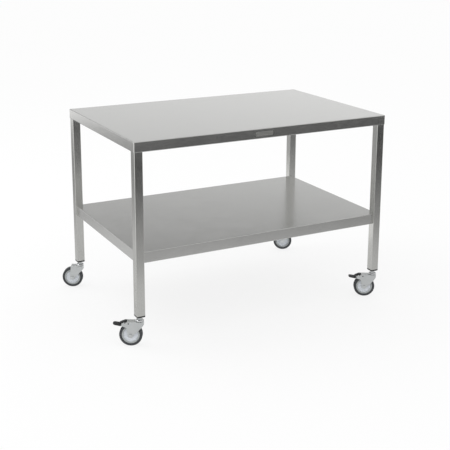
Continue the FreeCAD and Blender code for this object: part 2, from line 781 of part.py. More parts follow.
# Lock pedal: two arms beside the tyre, a bar under the lock ring, a web and a tongue
def make_lock_pedal(corner):
    body = new_body("lock_pedal_" + corner, corner)
    bar_top = "arm_low + bar_sheet"
    side = outline(body, "pedal_side_" + corner, "XZ_Plane", [[
        ("bar_front", bar_top), ("bar_front", "arm_low"), ("pivot_u + web_front + arm_sheet", "arm_low"),
        ("step_u", "step_top - tongue_sheet"),
        ("tongue_u", "tongue_top - tongue_sheet"), ("tongue_u", "tongue_top"),
        ("step_u", "step_top"), ("pivot_u + web_back", "web_top"), ("pivot_u + web_front", "web_top"),
        ("pivot_u + arm_shoulder", "pivot_z + arm_rise"), ("pivot_u - arm_shoulder", "pivot_z + arm_rise"),
        ("pivot_u - arm_rise - arm_shoulder", bar_top)]])
    pad(body, side, "2 * arm_outer", both_ways=True)
    gap = outline(body, "pedal_gap_" + corner, "XZ_Plane", [[
        ("bar_front + bar_length", "arm_low - overrun"),
        ("step_u", "arm_low - overrun - step_drop"), ("step_u", "step_top - tongue_sheet"),
        ("pivot_u + web_back - arm_sheet / 2", "web_under"), ("pivot_u + web_front", "web_under"),
        ("pivot_u + web_front", "crown_top"), ("bar_front + bar_length", "crown_top")]])
    pocket(body, gap, "2 * arm_inner", both_ways=True)
    flanks = outline(body, "pedal_flanks_" + corner, "XY_Plane", [
        rectangle("step_u + arm_sheet", "tongue_u + overrun", "tongue_half", "fork_half"),
        rectangle("step_u + arm_sheet", "tongue_u + overrun", "-fork_half", "-tongue_half")],
        ("0", "0", "crown_top"))
    pocket(body, flanks, "crown_top")
    eye = outline(body, "pedal_eye_" + corner, "XZ_Plane", [
        ("circle", "pivot_u", "pivot_z", "pivot_radius + pin_fit")])
    pocket(body, eye, "fork_width", both_ways=True)
    keep(body, "lock_pedal_" + corner)


# Pedal tread: the black toe piece pushed over the tongue
def make_pedal_tread(corner):
    body = new_body("pedal_tread_" + corner, corner)
    root, tip = "pivot_u + tread_root", "pivot_u + tread_tip"
    side = outline(body, "tread_side_" + corner, "XZ_Plane", [[
        (root, "pivot_z - root_low_drop"), (tip, "pivot_z - tip_low_drop"),
        (tip, "pivot_z - tip_top_rise"), (root, "pivot_z - root_top_drop")]])
    solid = pad(body, side, "2 * tread_half", both_ways=True)
    at_tip = lambda p: near(p.x, tip) and near(abs(p.y), "tread_half")
    soften(body, solid, at_tip, "tread_round")
    slope = "(tongue_top - step_top) / (tongue_u - step_u)"
    mouth = f"step_top + ({slope}) * ({root} - overrun - step_u)"
    slot = outline(body, "tread_slot_" + corner, "XZ_Plane", [[
        (f"{root} - overrun", f"{mouth} - tongue_sheet - tread_fit"),
        ("tongue_u + tread_fit", "tongue_top - tongue_sheet - tread_fit"),
        ("tongue_u + tread_fit", "tongue_top + tread_fit"),
        (f"{root} - overrun", f"{mouth} + tread_fit")]])
    pocket(body, slot, "2 * (tongue_half + tread_fit)", both_ways=True)
    keep(body, "pedal_tread_" + corner)


# Brake shoe: its curved sole meets the tyre when the pedal is down
def make_brake_shoe(corner):
    body = new_body("brake_shoe_" + corner, corner)
    height = "shoe_centre_z + sqrt(shoe_arc ^ 2 - ({} - shoe_centre_u) ^ 2)"
    side = outline(body, "shoe_side_" + corner, "XZ_Plane", [[
        ("shoe_start", "web_under"), ("shoe_start", height.format("shoe_start"), "shoe_arc", -1),
        ("shoe_end - arm_sheet", height.format("(shoe_end - arm_sheet)")),
        ("shoe_end - arm_sheet", "web_under")]])
    pad(body, side, "shoe_width", both_ways=True)
    keep(body, "brake_shoe_" + corner)


# Release lever: a moulded barrel on its pin and a toe plate that rises with the lock
def make_release_lever(corner):
    body = new_body("release_lever_" + corner, corner)
    barrel = outline(body, "release_barrel_" + corner, "XZ_Plane", [
        even_sides("release_barrel", BARREL_COUNT, "release_u", "release_z")])
    pad(body, barrel, "2 * arm_outer", both_ways=True)
    toe = "release_u + release_back"
    plate = outline(body, "release_plate_" + corner, "XZ_Plane", [[
        ("release_u", "release_z - release_barrel"), (toe, "release_z - release_end_low"),
        (toe, "release_z - release_end_top"), ("release_u + release_barrel", "release_z + release_hump"),
        ("release_u - release_barrel / 2", "release_z + release_hump"),
        ("release_u - release_barrel", "release_z")]])
    pad(body, plate, "2 * release_half", both_ways=True)
    eye = outline(body, "release_eye_" + corner, "XZ_Plane", [
        ("circle", "release_u", "release_z", "release_pin + pin_fit")])
    pocket(body, eye, "fork_width", both_ways=True)
    keep(body, "release_lever_" + corner)


make_top_tray()
make_stiffeners("top_stiffeners", "deck_under", "table_length - 2 * (deck_sheet + deck_lip + hat_end_gap)")
make_shelf_tray()
make_stiffeners("shelf_stiffeners", "shelf_under", "2 * (shelf_x - shelf_sheet - shelf_lip - hat_end_gap)")
make_badge_plate()
make_leg_inserts()
make_caster_stems()
make_swivel_heads()
make_ball_races()
make_lock_rings()
make_race_washers()
for place in CORNERS:
    make_leg(place)
    make_fork(place)
    make_tyre(place)
    make_wheel_core(place)
    make_axle_bolt(place)
for place in BRAKED:
    make_brake_pins(place)
    make_lock_pedal(place)
    make_pedal_tread(place)
    make_brake_shoe(place)
    make_release_lever(place)
doc.recompute()

# Check every object, then write each piece
for item in doc.Objects:
    if "Invalid" in item.State or "Error" in item.State:
        raise RuntimeError(item.Name + " failed")
os.makedirs("parts", exist_ok=True)
for item in parts:
    if item.Shape.isNull() or not item.Shape.isValid():
        raise RuntimeError(item.Label + " has no valid shape")
    item.Shape.exportStep(f"parts/{item.Label}.step")
    print(item.Label, len(item.Shape.Solids), "solids", round(item.Shape.Volume), "mm3")
print(len(parts), "pieces written")
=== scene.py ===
# %% [markdown]
# A stainless steel work table on four swivel casters, dressed for its portrait. The CAD
# model gives the sizes and places. Here each piece gets the finish of the real one: brushed
# sheet, plated pressings, moulded nylon and rubber.

# %% Load the frame
import json
import math

import bmesh
import bpy
from mathutils import Matrix, Vector


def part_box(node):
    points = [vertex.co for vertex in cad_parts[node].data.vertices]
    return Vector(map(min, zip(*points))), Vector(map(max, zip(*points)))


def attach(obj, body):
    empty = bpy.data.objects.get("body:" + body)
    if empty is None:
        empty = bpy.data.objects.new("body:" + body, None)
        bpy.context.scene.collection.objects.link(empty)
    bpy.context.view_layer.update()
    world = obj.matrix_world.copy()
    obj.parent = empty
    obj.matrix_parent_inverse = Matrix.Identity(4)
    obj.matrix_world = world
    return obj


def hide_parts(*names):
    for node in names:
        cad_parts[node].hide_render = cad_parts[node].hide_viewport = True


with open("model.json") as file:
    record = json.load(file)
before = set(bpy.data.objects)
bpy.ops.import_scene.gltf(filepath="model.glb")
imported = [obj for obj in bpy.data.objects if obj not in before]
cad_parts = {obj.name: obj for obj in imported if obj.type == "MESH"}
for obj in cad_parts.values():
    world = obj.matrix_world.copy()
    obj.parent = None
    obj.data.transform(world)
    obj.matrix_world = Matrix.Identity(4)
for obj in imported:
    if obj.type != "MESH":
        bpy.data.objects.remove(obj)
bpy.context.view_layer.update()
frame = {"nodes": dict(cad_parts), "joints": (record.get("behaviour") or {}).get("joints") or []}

scene = bpy.context.scene
scene.view_settings.view_transform = "Standard"

# %% [markdown]
# The table is seen from the left of its front edge, a little above the top, in a cropped frame.
# A camera's shift copies such a crop. Only a part of it is used, so that the whole table stays
# in the frame from the other sides too. The place and turn were solved from the table's corners.
# The turn is written as yaw, pitch and roll, and becomes three axes of the camera's matrix.

# %% Camera
CAMERA_PLACE = Vector((-2.0242, -3.8410, 1.7455))
CAMERA_YAW, CAMERA_PITCH, CAMERA_ROLL = 0.48511, 0.23309, 0.00353
FOCAL_PIXELS, FRAME_PIXELS, PRINCIPAL_ROW = 933.1, 450, 150
SENSOR_MM = 36
VIEW_END = 100


def placed(name, data):
    """A new object, linked to the scene."""
    item = bpy.data.objects.new(name, data)
    scene.collection.objects.link(item)
    return item


def camera_axes(yaw, pitch, roll):
    """Right, up and forward of a camera that looks along +Y when all three angles are zero."""
    level = math.cos(pitch)
    forward = Vector((math.sin(yaw) * level, math.cos(yaw) * level, -math.sin(pitch)))
    right = Vector((math.cos(yaw), -math.sin(yaw), 0))
    up = right.cross(forward)
    rolled_right = right * math.cos(roll) + up * math.sin(roll)
    rolled_up = up * math.cos(roll) - right * math.sin(roll)
    return rolled_right, rolled_up, forward


right, up, forward = camera_axes(CAMERA_YAW, CAMERA_PITCH, CAMERA_ROLL)
camera = placed("camera", bpy.data.cameras.new("camera"))
camera.data.sensor_width = SENSOR_MM
camera.data.lens = SENSOR_MM * FOCAL_PIXELS / FRAME_PIXELS
camera.data.shift_y = PRINCIPAL_ROW / FRAME_PIXELS - 0.5
camera.data.clip_end = VIEW_END
view_turn = Matrix((right, up, -forward)).transposed().to_4x4()
camera.matrix_world = Matrix.Translation(CAMERA_PLACE) @ view_turn
scene.camera = camera
print("lens", round(camera.data.lens, 2), "shift", round(camera.data.shift_y, 3))

# %% [markdown]
# Materials share a few effects: the drawn-out scratches of brushed sheet, cloudy smudges, and a
# fine pebble. Each effect is a shader node group with named inputs, built once and used with
# other numbers. A group hands out only values and normals; the Principled shader stays in the
# material. Two helpers make nodes and fill their inputs, so that a tree reads like a list.

# %% Node helpers
FLOAT, VECTOR = "NodeSocketFloat", "NodeSocketVector"


def fill(tree, node, values):
    """Set a node's inputs by name or number, or link them where the value is a socket."""
    for key, value in values.items():
        if isinstance(value, bpy.types.NodeSocket):
            tree.links.new(value, node.inputs[key])
        else:
            node.inputs[key].default_value = value


def put(tree, kind, values=(), **settings):
    """A new node, with its settings made and then its inputs filled."""
    node = tree.nodes.new(kind)
    for key, value in settings.items():
        setattr(node, key, value)
    fill(tree, node, dict(values))
    return node


def math_node(tree, operation, first, second):
    """The result of a Math node on sockets or plain numbers."""
    return put(tree, "ShaderNodeMath", {0: first, 1: second}, operation=operation).outputs[0]


def ranged(tree, value, new, old=(0, 1), interpolation="LINEAR"):
    """A value spread from its old limits to new ones."""
    limits = {"From Min": old[0], "From Max": old[1], "To Min": new[0], "To Max": new[1]}
    spread = put(tree, "ShaderNodeMapRange", {"Value": value, **limits}, interpolation_type=interpolation)
    return spread.outputs[0]


def new_group(name, numbers, outputs):
    """An empty shader group: a vector and numbers with defaults go in, named outputs come out."""
    tree = bpy.data.node_groups.new(name, "ShaderNodeTree")
    tree.interface.new_socket("Vector", in_out="INPUT", socket_type=VECTOR)
    for label, default in numbers.items():
        tree.interface.new_socket(label, in_out="INPUT", socket_type=FLOAT).default_value = default
    for label, kind in outputs.items():
        tree.interface.new_socket(label, in_out="OUTPUT", socket_type=kind)
    return tree, tree.nodes.new("NodeGroupInput").outputs, tree.nodes.new("NodeGroupOutput")


def bump_normal(tree, height, given):
    """The normal of a relief, with the depth and distance that its group was given."""
    relief = {"Height": height, "Strength": given["Depth"], "Distance": given["Distance"]}
    return put(tree, "ShaderNodeBump", relief).outputs[0]


print("node helpers ready")

# %% [markdown]
# Brushing leaves long, fine scratches that all run one way. A noise texture squeezed across the
# grain and stretched along it gives such lines without any image. They tint the sheet, and as
# a bump they also spread each reflection across the grain.

# %% Group: brushed grain
GRAINS_ALONG, GRAINS_ACROSS = 14, 900
GRAIN_DARK, GRAIN_LIGHT = 0.36, 0.64


def build_brushed_grain():
    """Long fine scratches along the U of the vector that comes in."""
    tree, given, out = new_group(
        "brushed_grain", {"Depth": 0.1, "Distance": 0.0001}, {"Lines": FLOAT, "Normal": VECTOR})
    stretch = put(tree, "ShaderNodeMapping", {
        "Vector": given["Vector"], "Scale": (GRAINS_ALONG, GRAINS_ACROSS, GRAINS_ACROSS)})
    noise = put(tree, "ShaderNodeTexNoise", {
        "Vector": stretch.outputs[0], "Scale": 1.0, "Detail": 3.0, "Roughness": 0.7}).outputs[0]
    fill(tree, out, {
        "Lines": ranged(tree, noise, (0, 1), (GRAIN_DARK, GRAIN_LIGHT)),
        "Normal": bump_normal(tree, noise, given)})
    return tree


BRUSHED_GRAIN = build_brushed_grain()
print("group", BRUSHED_GRAIN.name, "with", len(BRUSHED_GRAIN.nodes), "nodes")

# %% [markdown]
# Wiping and handling leave cloudy patches on every surface. A soft noise with its ends cut off
# gives them. The cut is worked out from one named input, the contrast.

# %% Group: smudges


def build_smudges():
    """Cloudy patches, from zero to one, so many to the metre."""
    tree, given, out = new_group("smudges", {"Patches": 6.0, "Contrast": 0.5}, {"Mask": FLOAT})
    noise = put(tree, "ShaderNodeTexNoise", {
        "Vector": given["Vector"], "Scale": given["Patches"],
        "Detail": 4.0, "Roughness": 0.6, "Distortion": 0.4})
    low = math_node(tree, "MULTIPLY", given["Contrast"], 0.5)
    high = math_node(tree, "SUBTRACT", 1.0, low)
    fill(tree, out, {"Mask": ranged(tree, noise.outputs[0], (0, 1), (low, high))})
    return tree


SMUDGES = build_smudges()
print("group", SMUDGES.name, "with", len(SMUDGES.nodes), "nodes")

# %% [markdown]
# Moulded and plated skins have an even, very fine pebble that breaks up their gloss.
# It is a small noise, handed out as a value for the colour and as a normal for the shine.

# %% Group: fine texture


def build_fine_texture():
    """The even pebble of a mould or of a plated skin, so many grains to the metre."""
    tree, given, out = new_group(
        "fine_texture", {"Pebbles": 900.0, "Depth": 0.1, "Distance": 0.0001},
        {"Grains": FLOAT, "Normal": VECTOR})
    noise = put(tree, "ShaderNodeTexNoise", {
        "Vector": given["Vector"], "Scale": given["Pebbles"], "Detail": 2.0, "Roughness": 0.5}).outputs[0]
    fill(tree, out, {"Grains": noise, "Normal": bump_normal(tree, noise, given)})
    return tree


FINE_TEXTURE = build_fine_texture()
print("group", FINE_TEXTURE.name, "with", len(FINE_TEXTURE.nodes), "nodes")

# %% [markdown]
# Two kinds of material cover the whole table. Brushed sheet reads the piece's own UV map,
# in metres, with U along the grain, so the scratches turn with each folded face.
# The others read Object coordinates, and differ in colour, gloss and pebble.
# In both, a fine mask and a cloudy one are mixed, and the mixture drives colour and roughness.

# %% Material makers
SHEET_PATCHES, SKIN_PATCHES = 5.0, 25.0
LINES_SHARE, PEBBLE_SHARE = 0.7, 0.3


def new_material(name):
    """A material with its tree and its Principled shader."""
    material = bpy.data.materials.new(name)
    material.use_nodes = True
    tree = material.node_tree
    return material, tree, tree.nodes["Principled BSDF"]


def blend_colours(tree, mask, dark, light):
    """Colour between dark and light by a mask."""
    mix = put(tree, "ShaderNodeMix", {0: mask}, data_type="RGBA")
    fill(tree, mix, {6: (*dark, 1), 7: (*light, 1)})
    return mix.outputs[2]


def clouded(tree, fine, share, place, patches):
    """A fine mask mixed with cloudy patches, by the share of the fine one."""
    clouds = put(tree, "ShaderNodeGroup", node_tree=SMUDGES)
    fill(tree, clouds, {"Vector": place.outputs["Object"], "Patches": patches})
    return math_node(tree, "ADD", math_node(tree, "MULTIPLY", fine, share),
                     math_node(tree, "MULTIPLY", clouds.outputs["Mask"], 1 - share))


def brushed_metal(name, dark, light, gloss, depth):
    """Sheet with a drawn grain along its UV map's U."""
    material, tree, shader = new_material(name)
    place = put(tree, "ShaderNodeTexCoord")
    grain = put(tree, "ShaderNodeGroup", node_tree=BRUSHED_GRAIN)
    fill(tree, grain, {"Vector": place.outputs["UV"], "Depth": depth})
    mixed = clouded(tree, grain.outputs["Lines"], LINES_SHARE, place, SHEET_PATCHES)
    fill(tree, shader, {
        "Base Color": blend_colours(tree, mixed, dark, light), "Roughness": ranged(tree, mixed, gloss),
        "Normal": grain.outputs["Normal"], "Metallic": 1.0})
    return material


def skin(name, dark, light, gloss, metallic, pebbles, depth):
    """Any other finish: two colours clouded together, with a fine pebble."""
    material, tree, shader = new_material(name)
    place = put(tree, "ShaderNodeTexCoord")
    pebble = put(tree, "ShaderNodeGroup", node_tree=FINE_TEXTURE)
    fill(tree, pebble, {"Vector": place.outputs["Object"], "Pebbles": pebbles, "Depth": depth})
    mixed = clouded(tree, pebble.outputs["Grains"], PEBBLE_SHARE, place, SKIN_PATCHES)
    fill(tree, shader, {
        "Base Color": blend_colours(tree, mixed, dark, light), "Roughness": ranged(tree, mixed, gloss),
        "Normal": pebble.outputs["Normal"], "Metallic": metallic})
    return material


print("material makers ready")

# %% [markdown]
# Each finish is one row of numbers: its darkest and lightest colour, then its roughness where
# it is smoothest and roughest. A brushed sheet adds the depth of its grain. A skin adds how
# metallic it is, its pebbles to the metre and their depth.

# %% Materials
BRUSHED_FINISHES = {
    "stainless_sheet": ((0.62, 0.62, 0.605), (0.74, 0.74, 0.725), (0.17, 0.25), 0.10),
    "stainless_tube": ((0.58, 0.58, 0.56), (0.69, 0.69, 0.67), (0.15, 0.25), 0.12),
    "stiffener_sheet": ((0.44, 0.44, 0.43), (0.56, 0.56, 0.55), (0.34, 0.46), 0.08),
    "badge_sheet": ((0.46, 0.46, 0.44), (0.54, 0.54, 0.52), (0.30, 0.38), 0.06),
}
SKIN_FINISHES = {
    "plated_steel": ((0.62, 0.64, 0.64), (0.74, 0.76, 0.76), (0.26, 0.40), 1.0, 700.0, 0.06),
    "bright_plate": ((0.78, 0.79, 0.80), (0.88, 0.89, 0.90), (0.05, 0.10), 1.0, 500.0, 0.02),
    "dark_rivet": ((0.16, 0.16, 0.16), (0.24, 0.24, 0.24), (0.34, 0.46), 1.0, 700.0, 0.06),
    "ball_steel": ((0.55, 0.55, 0.55), (0.64, 0.64, 0.64), (0.10, 0.20), 1.0, 400.0, 0.02),
    "black_nylon": ((0.012, 0.012, 0.013), (0.024, 0.024, 0.025), (0.42, 0.58), 0.0, 1500.0, 0.18),
    "tyre_rubber": ((0.040, 0.043, 0.047), (0.062, 0.066, 0.071), (0.62, 0.80), 0.0, 900.0, 0.2),
    "wheel_nylon": ((0.66, 0.69, 0.73), (0.77, 0.80, 0.84), (0.36, 0.48), 0.0, 1200.0, 0.08),
    "rim_nylon": ((0.34, 0.36, 0.36), (0.44, 0.46, 0.46), (0.40, 0.52), 0.0, 1200.0, 0.08),
    "hub_nylon": ((0.34, 0.36, 0.37), (0.44, 0.46, 0.47), (0.36, 0.48), 0.0, 1200.0, 0.08),
    "shoe_rubber": ((0.02, 0.02, 0.02), (0.035, 0.035, 0.035), (0.70, 0.85), 0.0, 900.0, 0.2),
}
MAT = {name: brushed_metal(name, *row) for name, row in BRUSHED_FINISHES.items()}
MAT.update({name: skin(name, *row) for name, row in SKIN_FINISHES.items()})
print("materials", len(MAT))

# %% [markdown]
# Most pieces are turned or folded, so two mesh makers go a long way: one joins rings of points
# into a skin, and one turns a profile about an axis. Corners of a profile are eased first,
# because no real edge is perfectly sharp and a tiny round catches the light.

# %% Mesh makers
PIN_STEPS, HEX_STEPS, CAP_STEPS, WHEEL_STEPS = 48, 72, 96, 128
QUARTER, SIXTH = math.pi / 2, math.pi / 3
EDGE_SHARE = 0.45
FACE_SHARE, CHAMFER = 0.46, math.radians(30)


def polar(radius, angle, height=0):
    """A point at some distance and angle from the Z axis."""
    return Vector((radius * math.cos(angle), radius * math.sin(angle), height))


def whole_turn(steps):
    """Even angles once round."""
    return [2 * math.pi * step / steps for step in range(steps)]


def quarter_turn(steps):
    """Sine and cosine of even angles from zero to a quarter turn, both ends included."""
    angles = [QUARTER * step / steps for step in range(steps + 1)]
    return [(math.sin(angle), math.cos(angle)) for angle in angles]


def mirrored(half):
    """Half of an outline and its other half, turned over in the second coordinate."""
    return half + [(first, -second) for first, second in reversed(half)]


def eased(points, radius, steps=3, closed=True):
    """A 2-D outline with its corners rounded, over less than half of each edge."""
    count = len(points)
    made = []
    for index, here in enumerate(points):
        if not closed and index in (0, count - 1):
            made.append(tuple(here))
            continue
        here = Vector(here)
        before, after = Vector(points[index - 1]) - here, Vector(points[(index + 1) % count]) - here
        reach = min(radius, before.length * EDGE_SHARE, after.length * EDGE_SHARE)
        start, end = here + before.normalized() * reach, here + after.normalized() * reach
        for step in range(steps + 1):
            t = step / steps
            made.append(tuple(start * (1 - t) ** 2 + here * 2 * t * (1 - t) + end * t ** 2))
    return made


def bridge(mesh, low, high, closed=True):
    """Quads between two rows of vertices."""
    count = len(low)
    for index in range(count if closed else count - 1):
        after = (index + 1) % count
        mesh.faces.new((low[index], low[after], high[after], high[index]))


def join_rings(mesh, rings, loop=False, cap_ends=False):
    """Quads between neighbouring rings of points; loop also joins the last to the first."""
    rows = [[mesh.verts.new(point) for point in ring] for ring in rings]
    for low, high in zip(rows, rows[1:] + (rows[:1] if loop else [])):
        bridge(mesh, low, high)
    if cap_ends:
        mesh.faces.new(rows[0])
        mesh.faces.new(rows[-1])


def turned(mesh, profile, place, steps, solid=False):
    """A profile of (radius, height) turned about the local Z axis, then put in place.

    It is a closed loop, or with solid an open one whose two ends get flat caps.
    """
    rings = [[place @ polar(radius, angle, height) for angle in whole_turn(steps)]
             for radius, height in profile]
    join_rings(mesh, rings, loop=not solid, cap_ends=solid)


def pin(mesh, radius, low, high, place):
    """A plain round pin with flat ends."""
    turned(mesh, [(radius, low), (radius, high)], place, PIN_STEPS, solid=True)


def hex_body(mesh, across, low, high, place):
    """A nut or a bolt's head: a hexagonal prism with its corners turned off at both ends."""
    corner = across / math.sqrt(3)
    drop = (corner - across / 2) * math.tan(CHAMFER)
    limits = [(low, across * FACE_SHARE), (low, across / 2), (low + drop, corner),
              (high - drop, corner), (high, across / 2), (high, across * FACE_SHARE)]
    flats = [(angle, across / 2 / math.cos(angle % SIXTH - SIXTH / 2)) for angle in whole_turn(HEX_STEPS)]
    rings = [[place @ polar(min(limit, flat), angle, height) for angle, flat in flats]
             for height, limit in limits]
    join_rings(mesh, rings, cap_ends=True)


print("a nut has", HEX_STEPS, "points round, a wheel", WHEEL_STEPS)

# %% [markdown]
# A mesh drawn here is finished the same way each time: doubles merged, faces turned outwards,
# its material given, and shading smoothed except at sharp edges. Modifiers are run on a helper
# object and the result is kept as a plain mesh. At last normals are weighted by area, so that a
# flat face stays evenly lit right up to its bends, and the piece joins the body it moves with.

# %% Finishing pieces
SMOOTH_ANGLE = math.radians(32)
MERGE_GAP = 1e-6
BY_AREA = ("WEIGHTED_NORMAL", {"keep_sharp": True, "weight": 100})


def shaded(data):
    """Smooth shading, with edges kept sharp where two faces meet at a wide angle."""
    data.shade_smooth()
    data.set_sharp_from_angle(angle=SMOOTH_ANGLE)
    return data


def finished_mesh(mesh, finish):
    """Merge doubles, face outwards, shade by angle and give the finish."""
    bmesh.ops.remove_doubles(mesh, verts=mesh.verts, dist=MERGE_GAP)
    bmesh.ops.recalc_face_normals(mesh, faces=mesh.faces)
    data = bpy.data.meshes.new("draft")
    mesh.to_mesh(data)
    mesh.free()
    data.materials.append(MAT[finish])
    return shaded(data)


def evaluated(holder):
    """The plain mesh that an object's modifiers make; the object itself isn't kept."""
    bpy.context.view_layer.update()
    graph = bpy.context.evaluated_depsgraph_get()
    result = bpy.data.meshes.new_from_object(holder.evaluated_get(graph))
    bpy.data.objects.remove(holder)
    return result


def apply_modifiers(data, *settings):
    """Run modifiers on a mesh and return the result as a plain mesh."""
    holder = placed("holder", data)
    for kind, values in settings:
        modifier = holder.modifiers.new(kind.lower(), kind)
        for key, value in values.items():
            setattr(modifier, key, value)
    return evaluated(holder)


def bevel(width, degrees, segments=3):
    """The settings of a Bevel on the edges that are sharper than some angle."""
    return ("BEVEL", {
        "width": width, "segments": segments, "limit_method": "ANGLE", "angle_limit": math.radians(degrees)})


def add_piece(name, data, body, slot, *nodes):
    """Put a finished mesh in the scene, on its body, in place of the CAD nodes it stands for."""
    data = apply_modifiers(data, BY_AREA)
    data.name = name
    piece = placed(name, data)
    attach(piece, body)
    if nodes:
        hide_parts(*nodes)


def add_made(name, mesh, finish, body, slot, node):
    """Finish a mesh and add it in place of one CAD node."""
    add_piece(name, finished_mesh(mesh, finish), body, slot, node)


def grain_map(data, standing=False):
    """UV in metres: U runs up a tube, or along the length of each folded face."""
    layer = data.uv_layers.new(name="grain")
    for face in data.polygons:
        size = [abs(part) for part in face.normal]
        flat = size.index(max(size))
        u_axis = 2 if standing else (1 if flat == 0 else 0)
        v_axis = next(axis for axis in (1, 2, 0) if axis not in (u_axis, flat))
        for corner in face.loop_indices:
            point = data.vertices[data.loops[corner].vertex_index].co
            layer.data[corner].uv = (point[u_axis], point[v_axis])


print("edges stay sharp above", round(math.degrees(SMOOTH_ANGLE)), "degrees")

# %% [markdown]
# The top and the shelf are trays, each folded from one sheet: deck, rim, and a lip turned in below.
# The top's corners are welded and ground round; the shelf's are cut out round the legs.
# Only the outer skin is drawn here. A Solidify modifier gives it the sheet's thickness inwards.

# %% Folded trays
SHEET = 0.0015
BEND, BEND_STEPS = 0.003, 5
CORNER_ROUND = 0.004
LIP_LENGTH, LIP_END_GAP = 0.014, 0.002
leg_low, leg_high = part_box("leg_front_right")
LEG_INNER_X, LEG_INNER_Y = leg_low.x, -leg_high.y


def corner_arcs(half_x, half_y, radius):
    """The four round corners of a rectangle about the origin, each a list of points."""
    arcs = []
    for quarter, (side_x, side_y) in enumerate(((1, 1), (-1, 1), (-1, -1), (1, -1))):
        centre = Vector((side_x * (half_x - radius), side_y * (half_y - radius)))
        angles = [(quarter + step / BEND_STEPS) * QUARTER for step in range(BEND_STEPS + 1)]
        arcs.append([centre + polar(radius, angle).xy for angle in angles])
    return arcs


def fold_profile(top, bottom):
    """(inset, height) down the outside of a rim, round both bends and along the lip."""
    bends = quarter_turn(BEND_STEPS)
    upper = [(BEND * (1 - sine), top - BEND * (1 - cosine)) for sine, cosine in bends]
    lower = [(BEND * (1 - cosine), bottom + BEND * (1 - sine)) for sine, cosine in bends]
    return upper + lower + [(LIP_LENGTH, bottom)]


def side_frames(half_x, half_y):
    """For each side: outward direction, direction along it, reach out and the place of its ends."""
    return [
        (Vector((0, -1)), Vector((1, 0)), half_y, LEG_INNER_X),
        (Vector((1, 0)), Vector((0, 1)), half_x, LEG_INNER_Y),
        (Vector((0, 1)), Vector((-1, 0)), half_y, LEG_INNER_X),
        (Vector((-1, 0)), Vector((0, -1)), half_x, LEG_INNER_Y),
    ]


def folded_top(mesh, half_x, half_y, top, bottom):
    """The top's outer skin: full rings down to the bottom bend, lips between the legs only."""
    sides = side_frames(half_x, half_y)
    rows = []
    for inset, height in fold_profile(top, bottom):
        spots = []
        for index, (out, along, reach, end) in enumerate(sides):
            spots += [out * (reach - inset) + along * (end - LIP_END_GAP) * share for share in (-1, 1)]
            if inset < CORNER_ROUND:
                spots += corner_arcs(half_x - inset, half_y - inset, CORNER_ROUND - inset)[index - 1]
        rows.append([mesh.verts.new((*spot, height)) for spot in spots])
    for low, high in zip(rows[:-2], rows[1:-1]):
        bridge(mesh, low, high)
    rim, lip = rows[-2:]
    for index in range(len(sides)):
        start = index * len(rim) // len(sides)
        mesh.faces.new((rim[start], rim[start + 1], lip[index * 2 + 1], lip[index * 2]))
    mesh.faces.new(rows[0])


def folded_shelf(mesh, half_x, half_y, top, bottom):
    """The shelf's outer skin: four rims that end at the legs, and a deck with cut corners."""
    deck = []
    for out, along, reach, end in side_frames(half_x, half_y):
        strips = []
        for inset, height in fold_profile(top, bottom):
            pair = [out * (reach - inset) + along * end * share for share in (-1, 1)]
            strips.append([mesh.verts.new((*spot, height)) for spot in pair])
        for low, high in zip(strips, strips[1:]):
            bridge(mesh, low, high, closed=False)
        inner = out * (LEG_INNER_Y if abs(out.y) else LEG_INNER_X) + along * end
        deck += strips[0] + [mesh.verts.new((*inner, top))]
    mesh.faces.new(deck)


def tray(name, draw, node):
    """A folded tray from its outer skin, with the sheet's thickness inside it."""
    low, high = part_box(node)
    mesh = bmesh.new()
    draw(mesh, high.x, high.y, high.z, low.z)
    thickness = ("SOLIDIFY", {"thickness": SHEET, "offset": -1, "use_even_offset": True})
    data = shaded(apply_modifiers(finished_mesh(mesh, "stainless_sheet"), thickness))
    grain_map(data)
    add_piece(name, data, "table", "stainless_sheet", node)
    print(name, len(data.polygons), "faces")


tray("folded_top", folded_top, "top_tray")
tray("folded_shelf", folded_shelf, "shelf_tray")

# %% [markdown]
# Under each tray two hat sections run from end to end, so that the sheet doesn't drum.
# A hat section is bent from a strip, so its cross-section is drawn as an eased outline
# and drawn out along the table.

# %% Hat sections
HAT_FLOOR, HAT_FLANGE, HAT_DEPTH, HAT_ROUND = 0.036, 0.016, 0.025, 0.0016


def hat_outline(under):
    """The closed cross-section as (height, place across), about the hat's middle."""
    foot, wide = HAT_FLOOR / 2, HAT_FLOOR / 2 + HAT_FLANGE
    outside = [(under, wide), (under - SHEET, wide), (under - SHEET, foot), (under - HAT_DEPTH, foot)]
    inside = [(under, SHEET - foot), (under - HAT_DEPTH + SHEET, SHEET - foot)]
    return mirrored(outside) + mirrored(inside)


def hats(name, node, tray_node):
    """Two hat sections under a tray's deck."""
    low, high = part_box(node)
    outline = eased(hat_outline(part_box(tray_node)[1].z - SHEET), HAT_ROUND)
    mesh = bmesh.new()
    for side in (-1, 1):
        centre = side * (high.y - HAT_FLOOR / 2 - HAT_FLANGE)
        rings = [[Vector((x, centre + y, z)) for z, y in outline] for x in (low.x, high.x)]
        join_rings(mesh, rings, cap_ends=True)
    data = finished_mesh(mesh, "stiffener_sheet")
    grain_map(data)
    add_piece(name, data, "table", "stiffener_sheet", node)
    print(name, "from", round(low.x, 3), "to", round(high.x, 3))


hats("top_hats", "top_stiffeners", "top_tray")
hats("shelf_hats", "shelf_stiffeners", "shelf_tray")

# %% [markdown]
# The legs are square tube with small round corners, brushed along their length.
# Inner and outer skins are rings of one rounded square, joined end to end into a closed wall.

# %% Legs
TUBE_HALF = (leg_high.x - leg_low.x) / 2
TUBE_ROUND, TUBE_FOOT = 0.003, 0.138
CORNERS = ("front_left", "front_right", "back_left", "back_right")
BRAKED = ("front_left", "front_right")
leg_axis = {}


